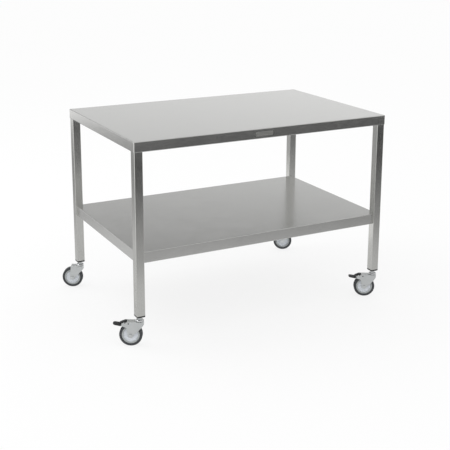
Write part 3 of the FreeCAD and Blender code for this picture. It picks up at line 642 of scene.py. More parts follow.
def square_ring(half, radius, centre, height):
    """Points round a square with round corners, level at some height."""
    return [Vector((point.x + centre.x, point.y + centre.y, height))
            for arc in corner_arcs(half, half, radius) for point in arc]


for corner in CORNERS:
    low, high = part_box("leg_" + corner)
    centre = leg_axis[corner] = Vector(((low.x + high.x) / 2, (low.y + high.y) / 2, 0))
    wall = [(0, TUBE_FOOT), (0, high.z), (SHEET, high.z), (SHEET, TUBE_FOOT)]
    rings = [square_ring(TUBE_HALF - inset, TUBE_ROUND - inset, centre, height) for inset, height in wall]
    mesh = bmesh.new()
    join_rings(mesh, rings, loop=True)
    data = finished_mesh(mesh, "stainless_tube")
    grain_map(data, standing=True)
    add_piece("tube_" + corner, data, "table", "stainless_tube", "leg_" + corner)
print("leg axes", {name: (round(p.x, 4), round(p.y, 4)) for name, p in leg_axis.items()})

# %% [markdown]
# Each caster has a frame of its own: U points the way it trails, V runs along the axle, Z is up.
# The CAD model's joints give its directions and places, and all four trail alike at rest.
# One matrix per corner turns caster places into the table's frame. A second one lays the turning
# axis along the axle, for the wheel and everything round it.

# %% Caster frames
joints = {joint["name"]: joint for joint in frame["joints"]}
V_WAY = Vector(joints["wheel_spin_front_left"]["axis"])
TRAIL_TURN = Matrix.Rotation(math.atan2(-V_WAY.x, V_WAY.y), 4, "Z")


def side_view(joint):
    """(u, z) of a joint's axis on the front left caster, seen from the side."""
    x, y, z = joints[joint + "_front_left"]["pos_m"]
    return math.hypot(x - leg_axis["front_left"].x, y - leg_axis["front_left"].y), z


def along_axle(corner, u, z):
    """The frame whose Z axis runs along V through a place in the caster's side view."""
    return at_corner[corner] @ Matrix.Translation((u, 0, z)) @ Matrix.Rotation(-QUARTER, 4, "X")


TRAIL, WHEEL_RADIUS = side_view("wheel_spin")
upright = {corner: Matrix.Translation(leg_axis[corner]) for corner in CORNERS}
at_corner = {corner: upright[corner] @ TRAIL_TURN for corner in CORNERS}
axle = {corner: along_axle(corner, TRAIL, WHEEL_RADIUS) for corner in CORNERS}
print("trail", round(TRAIL, 4), "wheel radius", round(WHEEL_RADIUS, 4))

# %% [markdown]
# A black insert closes each leg. Its flange is seen below the tube; the ribbed plug above it
# grips the tube from inside. Its rings of points are joined from the bore round the outside
# and back to the bore.

# %% Leg inserts
FLANGE_EDGE, INSERT_EASE = 0.0025, 0.0005
FIN_HALF, CORE_HALF, FIN, FIN_COUNT = 0.0174, 0.0152, 0.003, 3
BORE = 0.0071


def heights(node):
    """The lowest and highest level of a CAD node."""
    low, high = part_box(node)
    return low.z, high.z


INSERT_LOW, INSERT_TOP = heights("leg_inserts")
FIN_PITCH = (INSERT_TOP - TUBE_FOOT - FIN) / (FIN_COUNT - 1)


def insert_profile():
    """(half width, height) up the outside of an insert."""
    points = [
        (TUBE_HALF - FLANGE_EDGE, INSERT_LOW), (TUBE_HALF, INSERT_LOW + FLANGE_EDGE), (TUBE_HALF, TUBE_FOOT)]
    for index in range(FIN_COUNT):
        low = TUBE_FOOT + index * FIN_PITCH
        points += [(FIN_HALF, low), (FIN_HALF, low + FIN)]
        if index < FIN_COUNT - 1:
            points += [(CORE_HALF, low + FIN), (CORE_HALF, low + FIN_PITCH)]
    return eased(points, INSERT_EASE, closed=False)


mesh = bmesh.new()
for corner in CORNERS:
    centre = leg_axis[corner]
    rings = [square_ring(BORE, BORE, centre, INSERT_LOW)]
    rings += [square_ring(half, TUBE_ROUND, centre, height) for half, height in insert_profile()]
    rings.append(square_ring(BORE, BORE, centre, INSERT_TOP))
    join_rings(mesh, rings, loop=True)
add_made("leg_plugs", mesh, "black_nylon", "table", "black_plastic", "leg_inserts")
print("leg inserts", len(CORNERS), "flange", round((TUBE_FOOT - INSERT_LOW) * 1000, 1), "mm")

# %% [markdown]
# Below each insert comes the stem's hexagon collar, then the bright cap over the balls.
# Hexagons are turned like the real ones: the corners are cut by a cone at both ends.

# %% Stems and swivel heads
RING_LOW, RING_TOP = heights("lock_rings")
HEAD_UNDER, HEAD_TOP = heights("swivel_heads")
STEM_LOW, STEM_TOP = heights("caster_stems")
HEAD_RADIUS, HEAD_SLOPE, HEAD_EASE = 0.019, 0.003, 0.0012
KINGPIN, KINGPIN_GAP = 0.005, 0.0001
COLLAR, SHANK, NUT = 0.019, 0.012, 0.015
cap_bore = KINGPIN + KINGPIN_GAP
cap_profile = eased([
    (cap_bore, HEAD_UNDER), (HEAD_RADIUS, HEAD_UNDER), (HEAD_RADIUS, HEAD_TOP - HEAD_SLOPE),
    (HEAD_RADIUS - HEAD_SLOPE, HEAD_TOP), (cap_bore, HEAD_TOP)], HEAD_EASE)

stems, caps = bmesh.new(), bmesh.new()
for corner in CORNERS:
    place = upright[corner]
    hex_body(stems, COLLAR, HEAD_TOP, INSERT_LOW, place)
    hex_body(stems, SHANK, INSERT_LOW, STEM_TOP, place)
    hex_body(stems, NUT, STEM_LOW, RING_LOW, place)
    pin(stems, KINGPIN, RING_LOW, HEAD_TOP, place)
    turned(caps, cap_profile, place, CAP_STEPS)
add_made("stems", stems, "plated_steel", "table", "plated_steel", "caster_stems")
add_made("swivel_caps", caps, "bright_plate", "table", "bright_plated_steel", "swivel_heads")
print("stems and caps", len(CORNERS))

# %% [markdown]
# Under each braked crown sits a toothed ring, which the pedal's bar meets from below.
# The casters without a brake have a plain hexagonal washer there.
# The ring's outline is a star with eased teeth, and its hole has the same points, drawn in to a circle.

# %% Lock rings and washers
RING_RADIUS, TOOTH, TEETH, TOOTH_EASE, RING_BORE = 0.0146, 0.002, 12, 0.0004, 0.0043
TOOTH_STEPS = 2


def star_outline():
    """Points of the toothed ring: four corners to a tooth, each of them eased."""
    root = RING_RADIUS - TOOTH
    corners = []
    for index in range(TEETH):
        for share, radius in ((-1, root), (-1, RING_RADIUS), (1, RING_RADIUS), (1, root)):
            corners.append(polar(radius, (index + share / 4) * 2 * math.pi / TEETH).xy)
    return [Vector(point) for point in eased(corners, TOOTH_EASE, TOOTH_STEPS)]


rings_mesh, washers = bmesh.new(), bmesh.new()
for corner in CORNERS:
    if corner in BRAKED:
        outer = star_outline()
        inner = [point.normalized() * RING_BORE for point in outer]
        section = ((outer, RING_LOW), (outer, RING_TOP), (inner, RING_TOP), (inner, RING_LOW))
        rings = [[upright[corner] @ Vector((*point, height)) for point in line] for line, height in section]
        join_rings(rings_mesh, rings, loop=True)
    else:
        hex_body(washers, NUT, RING_LOW, RING_TOP, upright[corner])
add_made("toothed_rings", rings_mesh, "plated_steel", "table", "plated_steel", "lock_rings")
add_made("hex_washers", washers, "plated_steel", "table", "plated_steel", "race_washers")
print("toothed rings", len(BRAKED), "washers", len(CORNERS) - len(BRAKED))

# %% [markdown]
# The balls repeat round each cap, so a Geometry Nodes tree places them: a circle of points at
# each caster, a ball at each point, then real mesh with its material.
# The result is read off the evaluated object, and the modifier isn't kept.

# %% Race balls
BALL_RADIUS, BALL_CIRCLE, BALL_COUNT, BALL_FINENESS = 0.00108, 0.0130, 34, 3


def geometry_tree(name, inputs):
    """An empty Geometry Nodes tree: geometry, named inputs and a material in, geometry out."""
    tree = bpy.data.node_groups.new(name, "GeometryNodeTree")
    for label, kind in [("Geometry", "Geometry"), *inputs, ("Material", "Material")]:
        tree.interface.new_socket(label, in_out="INPUT", socket_type="NodeSocket" + kind)
    tree.interface.new_socket("Geometry", in_out="OUTPUT", socket_type="NodeSocketGeometry")
    return tree, tree.nodes.new("NodeGroupInput").outputs


def close_tree(tree, given, instances):
    """End a tree: instances become real mesh, smooth, with the material that was given."""
    real = put(tree, "GeometryNodeRealizeInstances", {0: instances})
    smooth = put(tree, "GeometryNodeSetShadeSmooth", {0: real.outputs[0]})
    paint = put(tree, "GeometryNodeSetMaterial", {0: smooth.outputs[0], "Material": given["Material"]})
    put(tree, "NodeGroupOutput", {0: paint.outputs[0]})
    return tree


def grown(name, tree, points, values):
    """Run a tree on loose points and return the mesh that it makes."""
    carrier = bpy.data.meshes.new(name + "_points")
    carrier.from_pydata([tuple(point) for point in points], [], [])
    holder = placed(name + "_holder", carrier)
    modifier = holder.modifiers.new("nodes", "NODES")
    modifier.node_group = tree
    sockets = {item.name: item.identifier for item in tree.interface.items_tree if item.in_out == "INPUT"}
    for label, value in values.items():
        modifier[sockets[label]] = value
    return evaluated(holder)


def build_ball_tree():
    """A circle of balls round every point."""
    tree, given = geometry_tree("ball_circle", [
        ("Count", "Int"), ("Circle Radius", "Float"), ("Ball Radius", "Float")])
    circle = put(tree, "GeometryNodeMeshCircle", {
        "Vertices": given["Count"], "Radius": given["Circle Radius"]})
    circles = put(tree, "GeometryNodeInstanceOnPoints", {
        "Points": given["Geometry"], "Instance": circle.outputs[0]})
    spots = put(tree, "GeometryNodeRealizeInstances", {0: circles.outputs[0]})
    ball = put(tree, "GeometryNodeMeshIcoSphere", {
        "Radius": given["Ball Radius"], "Subdivisions": BALL_FINENESS})
    balls = put(tree, "GeometryNodeInstanceOnPoints", {
        "Points": spots.outputs[0], "Instance": ball.outputs[0]})
    return close_tree(tree, given, balls.outputs[0])


centres = [leg_axis[corner] + Vector((0, 0, HEAD_UNDER - BALL_RADIUS)) for corner in CORNERS]
balls = grown("race_balls", build_ball_tree(), centres, {
    "Count": BALL_COUNT, "Circle Radius": BALL_CIRCLE, "Ball Radius": BALL_RADIUS,
    "Material": MAT["ball_steel"]})
add_piece("race_balls", balls, "table", "ball_steel", "ball_races")
print("balls", BALL_COUNT * len(CORNERS), "with", len(balls.polygons), "faces")

# %% [markdown]
# A fork is pressed from one sheet: a crown, a nose wrapped round the front, and two cheeks that
# run down to the axle. Columns of points go round its plan from cheek to cheek. Each column
# bends off the crown and drops to the lower edge, which a side view gives as a height for
# each U. Solidify then gives the sheet its thickness, and a small bevel softens the cut edges.
# The braked forks are longer at the back, where their cheeks carry the pedal's rivets.

# %% Fork outlines
FORK_HALF, FORK_SHEET, FORK_BEND, FORK_EASE = 0.018, 0.0025, 0.0028, 0.0003
CROWN_TOP = heights("fork_front_left")[1]
NOSE, NOSE_ROUND, NOSE_LOW = -0.018, 0.0172, 0.095
KNEE, KNEE_ROUND, KNEE_STEPS = (0.007, 0.068), 0.007, 6
FOOT, FOOT_STEPS = 0.012, 16
HEEL, TAIL, TAIL_LOW, TAIL_TOP, TAIL_SHOULDER = (0.056, 0.084), 0.0765, 0.092, 0.103, 0.0665
BACK_END, BACK_KNEE = 0.0435, (0.0465, 0.088)
CROWN_END = {True: 0.0545, False: BACK_END}
FOOT_ARC = [(TRAIL + spot.x, WHEEL_RADIUS + spot.y) for spot in (
    polar(FOOT, math.pi * (1 + step / FOOT_STEPS)) for step in range(FOOT_STEPS + 1))]
SKIRT = eased([(NOSE, NOSE_LOW), KNEE, FOOT_ARC[0]], KNEE_ROUND, KNEE_STEPS, closed=False)[:-1]
LOW_LINE = {
    True: SKIRT + FOOT_ARC + [HEEL, (TAIL, TAIL_LOW)],
    False: SKIRT + FOOT_ARC,
}
TOP_LINE = {
    True: [(NOSE, CROWN_TOP), (TAIL_SHOULDER, CROWN_TOP), (TAIL, TAIL_TOP)],
    False: [(NOSE, CROWN_TOP), (BACK_END, CROWN_TOP), BACK_KNEE, FOOT_ARC[-1]],
}


def height_at(line, u):
    """Height of a side-view line at some U."""
    for (start, low), (end, high) in zip(line, line[1:]):
        if start <= u <= end:
            share = (u - start) / (end - start) if end > start else 1
            return low + (high - low) * share
    return line[-1][1]


print("fork from", round(height_at(LOW_LINE[True], TRAIL), 4), "up to", round(CROWN_TOP, 4))

# %% [markdown]
# The columns stand closest round the nose, where the sheet turns, and wherever the side view has
# a corner. Past the crown's end there is no bend, so the same number of points is set close
# together under the cheek's top edge, and every column still meets its neighbour point by point.

# %% Forks
NOSE_STEPS, BEND_ROWS, WALL_ROWS = 12, 6, 9
CHEEK_COLUMNS, CROWN_CUT, NOSE_CLEAR = (0.01, 0.02), 0.0001, 0.0005
CROWN_EDGE, CLOSE_SHARE, CUT_DEGREES = 0.0004, 0.01, 50


def fork_columns(braked):
    """(u, v, outward u, outward v) round the plan, from one cheek's back to the other's."""
    start = NOSE + NOSE_ROUND
    places = {u for u, height in LOW_LINE[braked] + TOP_LINE[braked]}
    places |= {CROWN_END[braked], CROWN_END[braked] + CROWN_CUT, *(start + u for u in CHEEK_COLUMNS)}
    cheek = sorted(u for u in places if u > start + NOSE_CLEAR)
    half = [(u, FORK_HALF, 0, 1) for u in reversed(cheek)]
    for sine, cosine in quarter_turn(NOSE_STEPS):
        half.append((start - NOSE_ROUND * sine, FORK_HALF - NOSE_ROUND * (1 - cosine), -sine, cosine))
    return half + [(u, -v, out_u, -out_v) for u, v, out_u, out_v in reversed(half)]


def column_rows(braked, u):
    """(inset, height) down one column: the crown's edge, the bend and the wall."""
    top, low = height_at(TOP_LINE[braked], u), height_at(LOW_LINE[braked], u)
    if u <= CROWN_END[braked]:
        rows = [(FORK_BEND + CROWN_EDGE, top)]
        for sine, cosine in quarter_turn(BEND_ROWS):
            rows.append((FORK_BEND * (1 - sine), top - FORK_BEND * (1 - cosine)))
    else:
        top = min(top, CROWN_TOP - FORK_SHEET / 2)
        rows = [(0, top - (top - low) * CLOSE_SHARE * step) for step in range(BEND_ROWS + 2)]
    start = rows[-1][1]
    return rows + [(0, start + (low - start) * step / WALL_ROWS) for step in range(1, WALL_ROWS + 1)]


def pressed_fork(corner):
    """One fork's outer skin, thickened inwards, with its cut edges softened."""
    braked = corner in BRAKED
    mesh = bmesh.new()
    columns, crown = [], []
    for u, v, out_u, out_v in fork_columns(braked):
        columns.append([
            mesh.verts.new(at_corner[corner] @ Vector((u - out_u * inset, v - out_v * inset, height)))
            for inset, height in column_rows(braked, u)])
        if u <= CROWN_END[braked]:
            crown.append(columns[-1][0])
    for first, second in zip(columns, columns[1:]):
        bridge(mesh, first, second, closed=False)
    mesh.faces.new(crown)
    return shaded(apply_modifiers(
        finished_mesh(mesh, "plated_steel"),
        ("SOLIDIFY", {"thickness": FORK_SHEET, "offset": -1}), bevel(FORK_EASE, CUT_DEGREES, segments=2)))


for corner in CORNERS:
    body = "swivel_" + corner
    add_piece("pressed_fork_" + corner, pressed_fork(corner), body, "plated_steel", "fork_" + corner)
print("forks", len(CORNERS), "columns", len(fork_columns(True)), len(fork_columns(False)))

# %% [markdown]
# A wheel is a nylon core with a moulded rubber tyre. Both are turned about the axle.
# The core is paler in its dish than at its rim and hub. It stays one mesh, and each face takes
# the material of the band that its distance from the axle falls in.

# %% Wheels
TYRE_HALF, TYRE_INNER, SHOULDER, SHOULDER_STEPS = 0.012, 0.04104, 0.0026, 6
LIP_RADIUS, LIP_EDGE, LIP_GAP = 0.0385, 0.0003, 0.0001
CORE_RADIUS, CORE_HALF_WIDTH, DISH_RADIUS, DISH_HALF = 0.041, 0.0113, 0.0300, 0.0062
HUB_RADIUS, HUB_HALF, HUB_BORE, HUB_FOOT, HUB_FOOT_RISE = 0.0125, 0.0152, 0.00505, 0.004, 0.001
SLOPE_IN, SLOPE_OUT, CORE_EASE = 0.001, 0.002, 0.0012
CORE_BANDS = [(0.0135, "hub_nylon"), (0.0305, "wheel_nylon"), (0.042, "rim_nylon")]


def tyre_profile():
    """Round the tread and both shoulders, and down to a thin lip over each side of the core."""
    half = [(WHEEL_RADIUS - SHOULDER * (1 - cosine), TYRE_HALF - SHOULDER * (1 - sine))
            for sine, cosine in quarter_turn(SHOULDER_STEPS)]
    half += [(LIP_RADIUS + LIP_EDGE, TYRE_HALF), (LIP_RADIUS, TYRE_HALF - LIP_EDGE),
             (LIP_RADIUS, CORE_HALF_WIDTH + LIP_GAP), (TYRE_INNER, CORE_HALF_WIDTH + LIP_GAP)]
    return mirrored(half)


def core_profile():
    """From the hub's end down to the dish and up to the rim, mirrored for the other side."""
    return mirrored([
        (HUB_BORE, HUB_HALF), (HUB_RADIUS, HUB_HALF), (HUB_RADIUS, DISH_HALF + HUB_FOOT_RISE),
        (HUB_RADIUS + HUB_FOOT, DISH_HALF), (DISH_RADIUS - SLOPE_IN, DISH_HALF),
        (DISH_RADIUS + SLOPE_OUT, CORE_HALF_WIDTH), (CORE_RADIUS, CORE_HALF_WIDTH)])


def tone_by_radius(data, centre):
    """Give each face the material of the first band whose radius it lies within."""
    data.materials.clear()
    for limit, name in CORE_BANDS:
        data.materials.append(MAT[name])
    for face in data.polygons:
        away = face.center - centre
        radius = (away - V_WAY * away.dot(V_WAY)).length
        face.material_index = next(index for index, (limit, name) in enumerate(CORE_BANDS) if radius <= limit)


for corner in CORNERS:
    body = "wheel_" + corner
    mesh = bmesh.new()
    turned(mesh, tyre_profile(), axle[corner], WHEEL_STEPS)
    add_made("rubber_tyre_" + corner, mesh, "tyre_rubber", body, "tyre_rubber", "tyre_" + corner)
    mesh = bmesh.new()
    turned(mesh, eased(core_profile(), CORE_EASE), axle[corner], WHEEL_STEPS)
    data = finished_mesh(mesh, "wheel_nylon")
    tone_by_radius(data, axle[corner].to_translation())
    add_piece("nylon_core_" + corner, data, body, "grey_plastic", "wheel_core_" + corner)
print("wheels", len(CORNERS), "tyre width", 2 * TYRE_HALF)

# %% [markdown]
# The axle bolt's head shows on one cheek, its nut on the other, and its sleeve runs between them.
# The braked casters also have two pins, whose dark domed ends are riveted over the cheeks.
# All of them are turned, so one profile or a hexagon makes each.

# %% Axle bolts and brake pins
AXLE_ACROSS, AXLE_HEAD, AXLE_NUT = 0.013, 0.0053, 0.008
SLEEVE_RADIUS, BOLT_RADIUS = 0.005, 0.004
CHEEK_INNER = FORK_HALF - FORK_SHEET
DOME, DOME_SINK, DOME_STEPS = 0.0011, 0.0002, 8
PIVOT, RELEASE = side_view("pedal_press"), side_view("release_lift")
PIVOT_PIN, PIVOT_HEAD, RELEASE_PIN, RELEASE_HEAD = 0.0025, 0.0034, 0.002, 0.00272


def domed_end(mesh, radius, way, place):
    """A riveted head: a low dome on one side of the caster."""
    dome = [(radius * cosine, way * (FORK_HALF + DOME * sine))
            for sine, cosine in quarter_turn(DOME_STEPS)[:-1]]
    turned(mesh, [(radius, way * (FORK_HALF - DOME_SINK))] + dome, place, PIN_STEPS, solid=True)


for corner in CORNERS:
    body = "swivel_" + corner
    mesh = bmesh.new()
    hex_body(mesh, AXLE_ACROSS, FORK_HALF, FORK_HALF + AXLE_HEAD, axle[corner])
    hex_body(mesh, AXLE_ACROSS, -FORK_HALF - AXLE_NUT, -FORK_HALF, axle[corner])
    pin(mesh, SLEEVE_RADIUS, -CHEEK_INNER, CHEEK_INNER, axle[corner])
    pin(mesh, BOLT_RADIUS, -FORK_HALF, FORK_HALF, axle[corner])
    add_made("axle_" + corner, mesh, "plated_steel", body, "plated_steel", "axle_bolt_" + corner)

for corner in BRAKED:
    body = "swivel_" + corner
    mesh = bmesh.new()
    for spot, radius, head in ((PIVOT, PIVOT_PIN, PIVOT_HEAD), (RELEASE, RELEASE_PIN, RELEASE_HEAD)):
        place = along_axle(corner, *spot)
        pin(mesh, radius, -CHEEK_INNER, CHEEK_INNER, place)
        for way in (-1, 1):
            domed_end(mesh, head, way, place)
    add_made("rivets_" + corner, mesh, "dark_rivet", body, "plated_steel", "brake_pins_" + corner)
print("bolts", len(CORNERS), "rivet pairs", len(BRAKED))

# %% [markdown]
# The lock pedal, its shoe and the tread keep the CAD form, with their sharp edges broken.
# A CAD node's mesh is loose triangles, so its copy is merged, its flat faces are joined again,
# and only then bevelled.

# %% Pedal pieces
FLAT_ANGLE, EDGE_DEGREES = math.radians(1), 40
PEDAL_PIECES = [
    ("brake_arm_", "lock_pedal_", "plated_steel", "plated_steel", 0.0004),
    ("rubber_shoe_", "brake_shoe_", "shoe_rubber", "shoe_rubber", 0.0005),
    ("toe_tread_", "pedal_tread_", "black_nylon", "black_plastic", 0.0011),
]


def broken_edges(node, finish, width):
    """A copy of a CAD node with soft edges."""
    mesh = bmesh.new()
    mesh.from_mesh(frame["nodes"][node].data)
    bmesh.ops.remove_doubles(mesh, verts=mesh.verts, dist=MERGE_GAP)
    bmesh.ops.dissolve_limit(mesh, angle_limit=FLAT_ANGLE, verts=mesh.verts, edges=mesh.edges)
    return shaded(apply_modifiers(finished_mesh(mesh, finish), bevel(width, EDGE_DEGREES)))


for corner in BRAKED:
    for name, node, finish, slot, width in PEDAL_PIECES:
        data = broken_edges(node + corner, finish, width)
        add_piece(name + corner, data, "pedal_" + corner, slot, node + corner)
print("pedals", len(BRAKED), "of", len(PEDAL_PIECES), "pieces")

# %% [markdown]
# The tread's top has raised grip bars. They repeat along the tread, so a second tree lays one
# round-backed bar on every point of a line.

# %% Grip bars
TREAD_ROOT, TREAD_TIP = Vector((0.080, 0, 0.0976)), Vector((0.115, 0, 0.1026))
GRIP_COUNT, GRIP_RADIUS, GRIP_HALF, GRIP_SIDES = 7, 0.0007, 0.0095, 20
FIRST_SHARE, SPREAD_SHARE = 0.10, 0.68


def build_grip_tree():
    """A round bar on every point, turned to lie across the tread."""
    tree, given = geometry_tree("grip_bars", [("Radius", "Float"), ("Length", "Float"), ("Turn", "Rotation")])
    bar = put(tree, "GeometryNodeMeshCylinder", {
        "Radius": given["Radius"], "Depth": given["Length"], "Vertices": GRIP_SIDES})
    lay = put(tree, "GeometryNodeInstanceOnPoints", {
        "Points": given["Geometry"], "Instance": bar.outputs["Mesh"], "Rotation": given["Turn"]})
    return close_tree(tree, given, lay.outputs[0])


grip_tree = build_grip_tree()
for corner in BRAKED:
    shares = [FIRST_SHARE + SPREAD_SHARE * index / (GRIP_COUNT - 1) for index in range(GRIP_COUNT)]
    line = [at_corner[corner] @ TREAD_ROOT.lerp(TREAD_TIP, share) for share in shares]
    turn = (at_corner[corner] @ Matrix.Rotation(-QUARTER, 4, "X")).to_euler()
    bars = grown("grip_bars_" + corner, grip_tree, line, {
        "Radius": GRIP_RADIUS, "Length": 2 * GRIP_HALF, "Turn": turn, "Material": MAT["black_nylon"]})
    bars.set_sharp_from_angle(angle=SMOOTH_ANGLE)
    add_piece("grip_bars_" + corner, bars, "pedal_" + corner, "black_plastic")
print("grip bars", GRIP_COUNT, "on each tread")

# %% [markdown]
# The release lever is moulded: a round barrel on its pin and a toe plate with soft edges.
# The plate is a side view given a width, and the barrel is turned.

# %% Release levers
BARREL, BARREL_HALF, LEVER_HALF, LEVER_ROUND, LEVER_EASE = 0.004, 0.0152, 0.009, 0.0014, 0.0006
LEVER_OUTLINE = [
    (0.062, 0.1025), (0.086, 0.1011), (0.086, 0.1039), (0.066, 0.1121), (0.060, 0.1121), (0.058, 0.1065)]

for corner in BRAKED:
    outline = eased(LEVER_OUTLINE, LEVER_ROUND)
    rings = [[at_corner[corner] @ Vector((u, v, z)) for u, z in outline] for v in (-LEVER_HALF, LEVER_HALF)]
    mesh = bmesh.new()
    join_rings(mesh, rings, cap_ends=True)
    pin(mesh, BARREL, -BARREL_HALF, BARREL_HALF, along_axle(corner, *RELEASE))
    data = shaded(apply_modifiers(finished_mesh(mesh, "black_nylon"), bevel(LEVER_EASE, CUT_DEGREES)))
    add_piece("toe_lever_" + corner, data, "release_" + corner, "black_plastic", "release_lever_" + corner)
print("release levers", len(BRAKED))

# %% [markdown]
# The plate on the front rim is bare: a thin rounded sheet with a rolled border.
# Rings of one rounded rectangle run from its back edge over the border into the field.

# %% Plate on the rim
plate_low, plate_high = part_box("badge_plate")
PLATE_ROUND, ROUND_LOSS = 0.0022, 0.7
PLATE_EDGE, BORDER_END, FIELD_START, FIELD_DEPTH = 0.0002, 0.0012, 0.0016, 0.0003
PLATE_RINGS = [
    (0, plate_high.y), (0, plate_low.y + PLATE_EDGE), (PLATE_EDGE, plate_low.y),
    (BORDER_END, plate_low.y), (FIELD_START, plate_low.y + FIELD_DEPTH)]


def plate_ring(inset, y):
    """Points round the plate at some inset from its edge."""
    centre, half = (plate_low + plate_high) / 2, (plate_high - plate_low) / 2
    arcs = corner_arcs(half.x - inset, half.z - inset, PLATE_ROUND - inset * ROUND_LOSS)
    return [Vector((centre.x + point.x, y, centre.z + point.y)) for arc in arcs for point in arc]


mesh = bmesh.new()
join_rings(mesh, [plate_ring(inset, y) for inset, y in PLATE_RINGS], cap_ends=True)
data = finished_mesh(mesh, "badge_sheet")
grain_map(data)
add_piece("bare_plate", data, "table", "badge_sheet", "badge_plate")
print("bare plate", [round((plate_high - plate_low)[axis] * 1000, 1) for axis in (0, 2)])

# %% [markdown]
# The studio is a wide pale floor under a white sky. Part of the floor's brightness is its own glow,
# which the camera and the steel see, so that it looks nearly white and its shadow stays soft.
# The floor is one flat sheet, and its glow is an Emission shader mixed in for those rays alone.

# %% Floor
FLOOR_REACH, FLOOR_COLOUR, FLOOR_GLOW = 60, (0.90, 0.90, 0.90), 0.80


def stage_sheet(name, low, high, height, material):
    """A flat sheet of the studio between two corners."""
    corners = [(low[0], low[1], height), (high[0], low[1], height),
               (high[0], high[1], height), (low[0], high[1], height)]
    data = bpy.data.meshes.new(name)
    data.from_pydata(corners, [], [tuple(range(len(corners)))])
    data.materials.append(material)
    sheet = placed(name, data)
    return sheet


def matt_material(name, colour):
    """A plain colour without any shine."""
    material, tree, shader = new_material(name)
    fill(tree, shader, {"Base Color": (*colour, 1), "Roughness": 1.0, "Specular IOR Level": 0})
    return material, tree, shader


def seen_rays(tree):
    """One for the rays that show the background: camera, glossy and transmission rays."""
    path = put(tree, "ShaderNodeLightPath").outputs
    seen = math_node(tree, "MAXIMUM", path["Is Camera Ray"], path["Is Glossy Ray"])
    return math_node(tree, "MAXIMUM", seen, path["Is Transmission Ray"])


def pale_floor():
    """A matt white floor that also glows a little for the rays that show it."""
    material, tree, shader = matt_material("pale_floor", FLOOR_COLOUR)
    glow = put(tree, "ShaderNodeEmission", {"Color": (1, 1, 1, 1), "Strength": 1.0})
    amount = math_node(tree, "MULTIPLY", seen_rays(tree), FLOOR_GLOW)
    blend = put(tree, "ShaderNodeMixShader", {0: amount, 1: shader.outputs[0], 2: glow.outputs[0]})
    fill(tree, tree.nodes["Material Output"], {"Surface": blend.outputs[0]})
    return material


stage_sheet("floor", (-FLOOR_REACH, -FLOOR_REACH), (FLOOR_REACH, FLOOR_REACH), 0, pale_floor())
print("floor", 2 * FLOOR_REACH, "m wide")

# %% [markdown]
# Steel shows its surroundings: two soft dark flags lie just above the floor, hidden from the
# camera, and only reflections meet them. They give the front rim and the legs their darkness.
# How much a flag covers is a ramp, by the distance in front of the table or round a spot to the
# left behind it.

# %% Flags
FLAG_HEIGHT, FLAG_COLOUR = 0.004, (0.02, 0.02, 0.02)
FRONT_DEPTH = 9.0
FRONT_FLAG = ((-1.5, -FRONT_DEPTH), (7, 0.3))
FRONT_COVER = [
    (0.0, 0.20), (0.55, 0.28), (1.05, 0.31), (1.35, 0.54), (1.8, 0.60), (2.4, 0.80), (2.9, 0.95), (3.5, 1.0),
    (3.9, 0.85), (9.0, 0.80)]
RIGHT_PLACES, RIGHT_OPEN = (-0.2, 3.0), (1.0, 0.5)
SIDE_FLAG = ((-5.2, -0.9), (-0.4, 4.35))
SIDE_SPOT, SIDE_REACH = (-1.7, 2.6), 3.5
SIDE_COVER = [
    (0.0, 0.0), (0.143, 0.20), (0.314, 0.31), (0.514, 0.38), (0.62, 0.50), (0.714, 0.53), (0.83, 0.66),
    (1.0, 0.70)]


def cover_ramp(tree, value, stops):
    """A ramp through (position, cover) stops, in order."""
    ramp = put(tree, "ShaderNodeValToRGB", {0: value})
    line = ramp.color_ramp.elements
    for index, (position, cover) in enumerate(stops):
        stop = line[index] if index < 2 else line.new(position)
        stop.position = position
        stop.color = (cover, cover, cover, 1)
    return ramp.outputs[0]


def front_mask(tree, place):
    """Darker with the distance in front of the table, for some metres, and also to the right."""
    split = put(tree, "ShaderNodeSeparateXYZ", {0: place}).outputs
    away = math_node(tree, "DIVIDE", split["Y"], -FRONT_DEPTH)
    stops = [(distance / FRONT_DEPTH, cover) for distance, cover in FRONT_COVER]
    open_part = math_node(tree, "SUBTRACT", 1.0, cover_ramp(tree, away, stops))
    side = ranged(tree, split["X"], RIGHT_OPEN, RIGHT_PLACES, "SMOOTHSTEP")
    return math_node(tree, "SUBTRACT", 1.0, math_node(tree, "MULTIPLY", open_part, side))


def side_mask(tree, place):
    """Darkest in the middle of a disc, and open at its rim."""
    spot = put(tree, "ShaderNodeMapping", vector_type="TEXTURE")
    fill(tree, spot, {"Vector": place, "Location": (*SIDE_SPOT, 0), "Scale": (SIDE_REACH, SIDE_REACH, 1)})
    disc = put(tree, "ShaderNodeTexGradient", {"Vector": spot.outputs[0]}, gradient_type="SPHERICAL")
    return cover_ramp(tree, disc.outputs[1], SIDE_COVER)


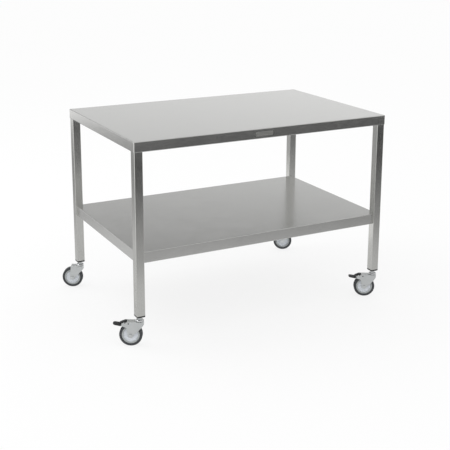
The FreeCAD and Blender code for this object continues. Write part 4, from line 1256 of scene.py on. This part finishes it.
def dark_flag(name, corners, build_mask):
    """Dark cloth with a soft edge, which only reflections meet."""
    material, tree, shader = matt_material(name, FLAG_COLOUR)
    place = put(tree, "ShaderNodeTexCoord").outputs["Object"]
    fill(tree, shader, {"Alpha": build_mask(tree, place)})
    flag = stage_sheet(name, *corners, FLAG_HEIGHT, material)
    flag.visible_camera = False
    flag.visible_diffuse = False
    flag.visible_shadow = False


dark_flag("front_flag", FRONT_FLAG, front_mask)
dark_flag("side_flag", SIDE_FLAG, side_mask)
print("flags lie", FLAG_HEIGHT * 1000, "mm above the floor")

# %% [markdown]
# The sky lights the table evenly. In reflections it has a darker belt some way up, as a room's wall
# has above a lit backdrop, and that shades the decks from their near edges to their far ones.
# One soft lamp high on the left adds a little direction to that light.

# %% Sky and lamp
SKY_BY_HEIGHT = [
    (0.160, 0.98), (0.180, 0.89), (0.205, 0.80), (0.240, 0.75), (0.262, 0.75), (0.278, 0.68), (0.293, 0.54),
    (0.310, 0.32), (0.330, 0.27), (0.420, 0.40), (0.600, 0.66), (1.0, 0.80)]
SKY_TURN, SKY_GAIN = (0.30, 0.60), (0.94, 1.06)
KEY_PLACE, KEY_AIM = Vector((-2.5, 1.5, 4.0)), Vector((0, 0, 0.4))
KEY_WIDTH, KEY_POWER = 2.5, 40


def sky_tone(tree):
    """Brightness of the sky by the height of a direction, a little more to the right."""
    way = put(tree, "ShaderNodeTexCoord").outputs["Generated"]
    split = put(tree, "ShaderNodeSeparateXYZ", {0: way}).outputs
    gain = ranged(tree, split["X"], SKY_GAIN, SKY_TURN)
    return math_node(tree, "MULTIPLY", cover_ramp(tree, split["Z"], SKY_BY_HEIGHT), gain)


world = bpy.data.worlds.new("sky")
scene.world = world
world.use_nodes = True
sky = world.node_tree
path = put(sky, "ShaderNodeLightPath")
tone = ranged(sky, path.outputs["Is Glossy Ray"], (1.0, sky_tone(sky)))
fill(sky, sky.nodes["Background"], {"Color": tone, "Strength": 1.0})

lamp = bpy.data.lights.new("key", "AREA")
lamp.size = KEY_WIDTH
lamp.energy = KEY_POWER
key = placed("key", lamp)
key.location = KEY_PLACE
key.rotation_euler = (KEY_AIM - KEY_PLACE).to_track_quat("-Z", "Y").to_euler()
print("sky and key lamp")
